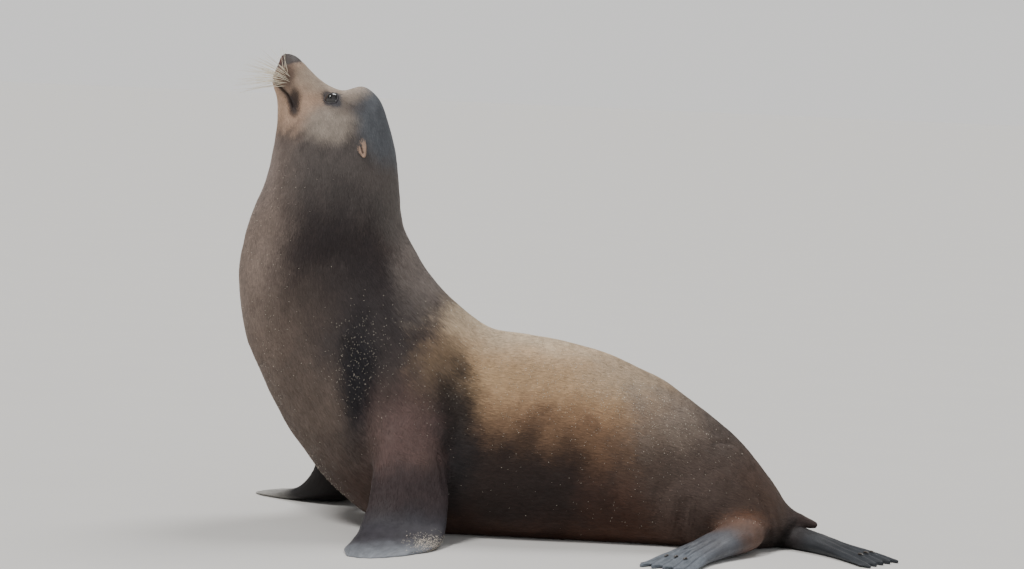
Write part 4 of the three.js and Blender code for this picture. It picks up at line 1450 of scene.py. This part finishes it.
def make_whiskers(name, turn, look):
    """Stiff whiskers that fan out from the pad, each a thin closed tube from its follicle."""
    chance = np.random.RandomState(SEED + turn)
    points, faces, root = [], [], []
    rings, sides = WHISKER_RINGS, WHISKER_SIDES
    for row, column, place, normal in whisker_places[turn]:
        fan = WHISKER_LIFT + LIFT_PER_ROW * row + LIFT_PER_COLUMN * column
        lift_angle = math.radians(fan + chance.uniform(-WHISKER_STRAY, WHISKER_STRAY))
        upright = (row, column) in UPRIGHT_WHISKERS
        if upright:
            lift_angle = math.radians(chance.uniform(*UPRIGHT_ANGLES))
        spread = chance.uniform(*WHISKER_ASIDE) + ASIDE_PER_COLUMN * column
        way = unit(np.array([-math.cos(lift_angle), -turn * spread, math.sin(lift_angle)]) + 0.2 * normal)
        length = WHISKER_LENGTH + LONGER_BACK * column + LONGER_LOW * (WHISKER_ROWS - 1 - row)
        length *= chance.uniform(*WHISKER_SHARES)
        if upright:
            length *= UPRIGHT_SHARE
        sag = unit(np.array([0.25, -0.1 * turn, -1.0])) * chance.uniform(0.0, WHISKER_SAG) * length
        steps = np.linspace(0, 1, rings)
        path = place - normal * 0.002 + way * (steps * length)[:, None] + sag * (steps ** 2)[:, None]
        radii = WHISKER_RADIUS * (1 - 0.8 * steps) + ROOT_SWELLING * bell(steps, 0.05)
        faces += tube_faces(rings, sides, len(points))
        points += tube_points(path, radii, sides, 1.0, (0.3, 0.9, 0.2))
        root += np.repeat(bell(steps, 0.06), sides).tolist()
    piece = new_piece(name, points, faces, look)
    add_numbers(piece.data, "root", np.array(root))


eye_finish, claw_finish, whisker_finish, fur_finish = eye_look(), claw_look(), whisker_look(), coat_look()
for side, turn in (("left", 1), ("right", -1)):
    make_eye(side + "_eye", turn, eye_finish)
    make_whiskers(side + "_whiskers", turn, whisker_finish)
    for number in CLAW_DIGITS:
        make_claw(f"{side}_hind_claw_{number}", side + "_hind", number, claw_finish)


# ---------- the coat ----------
def tuft_places(part_name, t_low, t_high, count, chance):
    """Random places on a part, evenly thick over its surface whatever its girth."""
    surface = surface_of(part_name)
    rows, columns = 120, 160
    t_edges = np.linspace(t_low, t_high, rows + 1)
    a_edges = np.linspace(-math.pi, math.pi, columns + 1)
    t = (t_edges[:-1] + t_edges[1:]) / 2
    a = (a_edges[:-1] + a_edges[1:]) / 2
    tt, aa = [grid.ravel() for grid in np.meshgrid(t, a, indexing="ij")]
    dt, da = (t_high - t_low) / rows, 2 * math.pi / columns
    along = surface(tt + dt * 0.49, aa) - surface(tt - dt * 0.49, aa)
    around = surface(tt, aa + da / 2) - surface(tt, aa - da / 2)
    area = np.linalg.norm(np.cross(along, around), axis=1)
    points = surface(tt, aa)
    size = tuft_length(part_name, tt)
    want = area / (size * tuft_width(size)) * (points[:, 2] > -0.002)
    chosen = chance.choice(len(tt), count, p=want / want.sum())
    t_shift, a_shift = chance.uniform(-0.5, 0.5, (2, count))
    return tt[chosen] + t_shift * dt, aa[chosen] + a_shift * da


def tuft_length(part_name, t):
    """Hair is shortest on the muzzle and feet and longest on the neck and breast."""
    if part_name == "body":
        muzzle = TUFT_SIZES["muzzle"] * smooth(t, 1, 8)
        neck = TUFT_SIZES["neck"] * smooth(t, 8, 13)
        rump = TUFT_SIZES["rump"] * smooth(t, 23, 27)
        return TUFT_SIZES["nose"] + muzzle + neck + rump
    if part_name == "tail":
        return np.full(len(t), TUFT_SIZES["tail"])
    if part_name in EARS:
        return np.full(len(t), TUFT_SIZES["ear"])
    low, high = BARE_FROM[part_name]
    return TUFT_SIZES["limb"] + TUFT_SIZES["hand"] * smooth(t, low - 2, high)


def tuft_width(length):
    """A tuft's width at its root."""
    return TUFT_WIDTH + WIDTH_SHARE * length


def tufts_of(part_name, t_low, t_high, count, chance):
    """Points, shading normals and colours of a part's tufts, four points each, and their places."""
    surface = surface_of(part_name)
    t, a = tuft_places(part_name, t_low, t_high, count, chance)
    root = surface(t, a)
    ahead = surface(np.minimum(t + LIE_STEP, LAST_PLACE[part_name]), a)
    ahead = ahead - surface(np.maximum(t - LIE_STEP, 0), a)
    hidden = np.zeros(len(root), bool)
    for name, tree in trees.items():
        if name != part_name:
            hidden |= depth_inside(tree, root, 0.02) > HIDDEN_DEPTH
    part = np.full(len(root), PARTS.index(part_name))
    bare = bare_amount(root, part, t)
    keep = ~hidden & (chance.uniform(size=len(root)) > bare * 1.15) & (root[:, 2] > 0.001)
    root, ahead, t, a, part = root[keep], ahead[keep], t[keep], a[keep], part[keep]
    length = tuft_length(part_name, t) * chance.uniform(*TUFT_SPREAD, len(root))
    place, normal = nearest(skin_tree, root)
    lie = unit(ahead - normal * (ahead * normal).sum(1)[:, None])
    side = np.cross(normal, lie)
    swirl = ripples(place, SWIRLS) + chance.normal(0, LOOSE_HAIR, len(root))
    lie = lie * np.cos(swirl)[:, None] + side * np.sin(swirl)[:, None]
    side = np.cross(normal, lie)
    half = side * (tuft_width(length) / 2 * chance.uniform(0.8, 1.2, len(root)))[:, None]
    end, end_normal = nearest(skin_tree, place + lie * length[:, None])
    share, more, most = TIP_LIFT
    proud = np.minimum(share * length + more, most) * chance.uniform(0.4, 1.3, len(root))
    sunk = place - normal * TUFT_SUNK
    tip = end + end_normal * proud[:, None]
    chord = 0.6 * sunk + 0.4 * tip
    share, more, least = CROWN_LIFT
    over_skin = ((place - chord) * normal).sum(1) + share * length + more
    crown = chord + normal * np.maximum(over_skin, least)[:, None]
    corners = np.stack([sunk - half, sunk + half, crown, tip], 1)
    leaning = unit(normal + side * chance.normal(0, TUFT_LEAN, (len(root), 1)) + lie * 0.12)
    shading = np.stack([leaning, leaning, leaning, unit(end_normal + leaning)], 1)
    corners[:, :, 2] = np.maximum(corners[:, :, 2], FLOOR_CLEAR / 2)
    scatter = np.where(place[:, 2] > HEAD_ABOVE, SCATTER_HEAD, SCATTER_BODY)
    sampled = place + chance.normal(0, 1, place.shape) * scatter[:, None]
    tone = coat_colour(sampled, part, t) * np.exp(chance.normal(0, TONE_SPREAD, len(root)))[:, None]
    tones = tone[:, None, :] * TUFT_SHADES[None, :, None]
    return corners.reshape(-1, 3), shading.reshape(-1, 3), tones.reshape(-1, 3), t, a


def grains_of(chance):
    """Grains of sand caught in the fur, as tiny pale wedges made like the tufts."""
    sets, normals = [], []
    skin_points = mesh_points(mesh)
    for centre, radii, count in SAND_PLACES:
        away = (((skin_points - np.array(centre) * MM) / (np.array(radii) * MM)) ** 2).sum(1)
        odds = np.exp(-away / 2) * (skin_points[:, 2] < HEAD_ABOVE)
        chosen = skin_points[chance.choice(len(skin_points), count, p=odds / odds.sum())]
        place, normal = nearest(skin_tree, chosen + chance.normal(0, 0.004, chosen.shape))
        lie = unit(np.cross(normal, chance.normal(size=place.shape)))
        side = np.cross(normal, lie)
        size = chance.uniform(*GRAIN_SIZES, (count, 1))
        corners = np.stack([place - side * size, place + side * size,
                            place + lie * size + normal * (size + 0.0008), place + lie * size * 2], 1)
        sets.append(corners + normal[:, None, :] * GRAIN_LIFT)
        normals.append(np.repeat(normal, 4, 0))
    corners = np.concatenate(sets).reshape(-1, 3)
    corners[:, 2] = np.maximum(corners[:, 2], FLOOR_CLEAR / 2)
    tones = np.repeat(linear(SAND_COLOUR)[None] * chance.uniform(0.6, 1.1, (len(corners) // 4, 1)), 4, 0)
    return corners, np.concatenate(normals), tones


def coat_piece(name, corners, shading, tones, centres, slot):
    """One piece of joined tufts, with its unwrap: a small patch for each tuft at its root's place."""
    count = len(corners) // 4
    face = np.array([[0, 3, 2], [1, 2, 3], [0, 2, 1], [0, 1, 3]])
    triangles = (np.arange(count)[:, None, None] * 4 + face).reshape(-1)
    piece_mesh = bpy.data.meshes.new(name)
    piece_mesh.vertices.add(count * 4)
    piece_mesh.loops.add(len(triangles))
    piece_mesh.polygons.add(count * 4)
    piece_mesh.vertices.foreach_set("co", corners.astype(np.float32).ravel())
    piece_mesh.loops.foreach_set("vertex_index", triangles.astype(np.int32))
    piece_mesh.polygons.foreach_set("loop_start", np.arange(0, len(triangles), 3, dtype=np.int32))
    piece_mesh.update(calc_edges=True)
    patch = np.array([[-1, -1], [1, -1], [0, 0], [0, 1]]) * UNWRAP_PATCH / 2
    spots = (centres[:, None, :] + patch[None]).reshape(-1, 2)[triangles]
    piece_mesh.uv_layers.new(name="OFBake").uv.foreach_set("vector", spots.astype(np.float32).ravel())
    add_colours(piece_mesh, np.clip(tones, 0, 1))
    piece_mesh.polygons.foreach_set("use_smooth", np.ones(count * 4, bool))
    add_vectors(piece_mesh, "custom_normal", shading)
    piece_mesh.materials.append(fur_finish)
    placed_piece(name, piece_mesh)


def unwrap_stretch(t, a, low, high):
    """A stretch of the body spread over the whole unwrap."""
    return np.stack([off_edges((t - low) / (high - low)), off_edges((a + math.pi) / (2 * math.pi))], 1)


def make_coat():
    """Tufts over the whole animal, then the sand in them."""
    chance = np.random.RandomState(SEED)
    for name, slot, first, last, count in COAT_STRETCHES:
        low, high = BODY_NAMES.index(first), BODY_NAMES.index(last)
        if first == BODY_NAMES[0]:
            low = COAT_START
        corners, shading, tones, t, a = tufts_of("body", low, high, count, chance)
        coat_piece(name, corners, shading, tones, unwrap_stretch(t, a, low, high), slot)
    sets = []
    for part_name, (low, high, count) in COAT_PARTS.items():
        corners, shading, tones, t, a = tufts_of(part_name, low, high, count, chance)
        island = unwrap(part_name, t, a)
        island[:, 1] = (island[:, 1] - 0.7) / 0.3
        sets.append((corners, shading, tones, island))
    coat_piece("coat_limbs", *[np.concatenate(parts) for parts in zip(*sets)], "fur_brown")
    corners, shading, tones = grains_of(chance)
    middle = corners.reshape(-1, 4, 3).mean(1)
    spread = (middle[:, [0, 2]] - middle[:, [0, 2]].min(0)) / np.ptp(middle[:, [0, 2]], axis=0)
    coat_piece("coat_sand", corners, shading, tones, off_edges(spread), "fur_tan")


make_coat()

# ---------- skin in its place, floor and light ----------
skin.location = -Vector(CENTRE)
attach(skin, "root")
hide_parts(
    "nose", "muzzle", "lower_jaw", "head", "left_ear", "right_ear",
    "neck", "chest", "trunk", "hindquarters", "tail",
    "left_forelimb", "left_fore_flipper", "right_forelimb", "right_fore_flipper",
    "left_hind_leg", "left_hind_flipper", "right_hind_leg", "right_hind_flipper")


def make_floor():
    """A plain pale floor that reaches to the horizon."""
    look = Look("plain_floor")
    spot = look.spot()
    tone = look.between(look.noise(spot, 3.0, 3.0), 0.98, 1.02)
    material = look.finish(Base_Color=look.darkened(FLOOR_COLOUR, tone), Roughness=0.9)
    bm = bmesh.new()
    bmesh.ops.create_grid(bm, x_segments=8, y_segments=8, size=FLOOR_REACH)
    floor_mesh = bpy.data.meshes.new("floor")
    bm.to_mesh(floor_mesh)
    bm.free()
    floor_mesh.materials.append(material)
    floor = in_scene("floor", floor_mesh)


def soft_sun(name, towards, softness, strength, colour):
    """Even light from far away, softened as if by a wide screen; softness in degrees."""
    data = bpy.data.lights.new(name, "SUN")
    data.angle = math.radians(softness)
    data.energy = strength
    data.color = colour
    lamp = in_scene(name, data)
    lamp.location = Vector(towards)
    lamp.rotation_euler = Vector(towards).to_track_quat("Z", "Y").to_euler()


def make_world():
    """Pale at the level of the eye, where it meets the floor, and dimmer overhead."""
    world = bpy.data.worlds.new("studio")
    world.use_nodes = True
    tree = world.node_tree
    way = tree.nodes.new("ShaderNodeTexCoord").outputs["Generated"]
    parts = tree.nodes.new("ShaderNodeSeparateXYZ")
    tree.links.new(way, parts.inputs[0])
    dim = tree.nodes.new("ShaderNodeMapRange")
    ends = (*WORLD_RAMP, WORLD_LOW, WORLD_HIGH)
    for key, value in zip(("From Min", "From Max", "To Min", "To Max"), ends):
        dim.inputs[key].default_value = value
    tree.links.new(parts.outputs["Z"], dim.inputs["Value"])
    tree.links.new(dim.outputs["Result"], tree.nodes["Background"].inputs["Strength"])
    tree.nodes["Background"].inputs["Color"].default_value = (1.0, 0.99, 0.975, 1)
    bpy.context.scene.world = world


make_floor()
make_world()
for name, lamp in SUNS.items():
    soft_sun(name, *lamp)
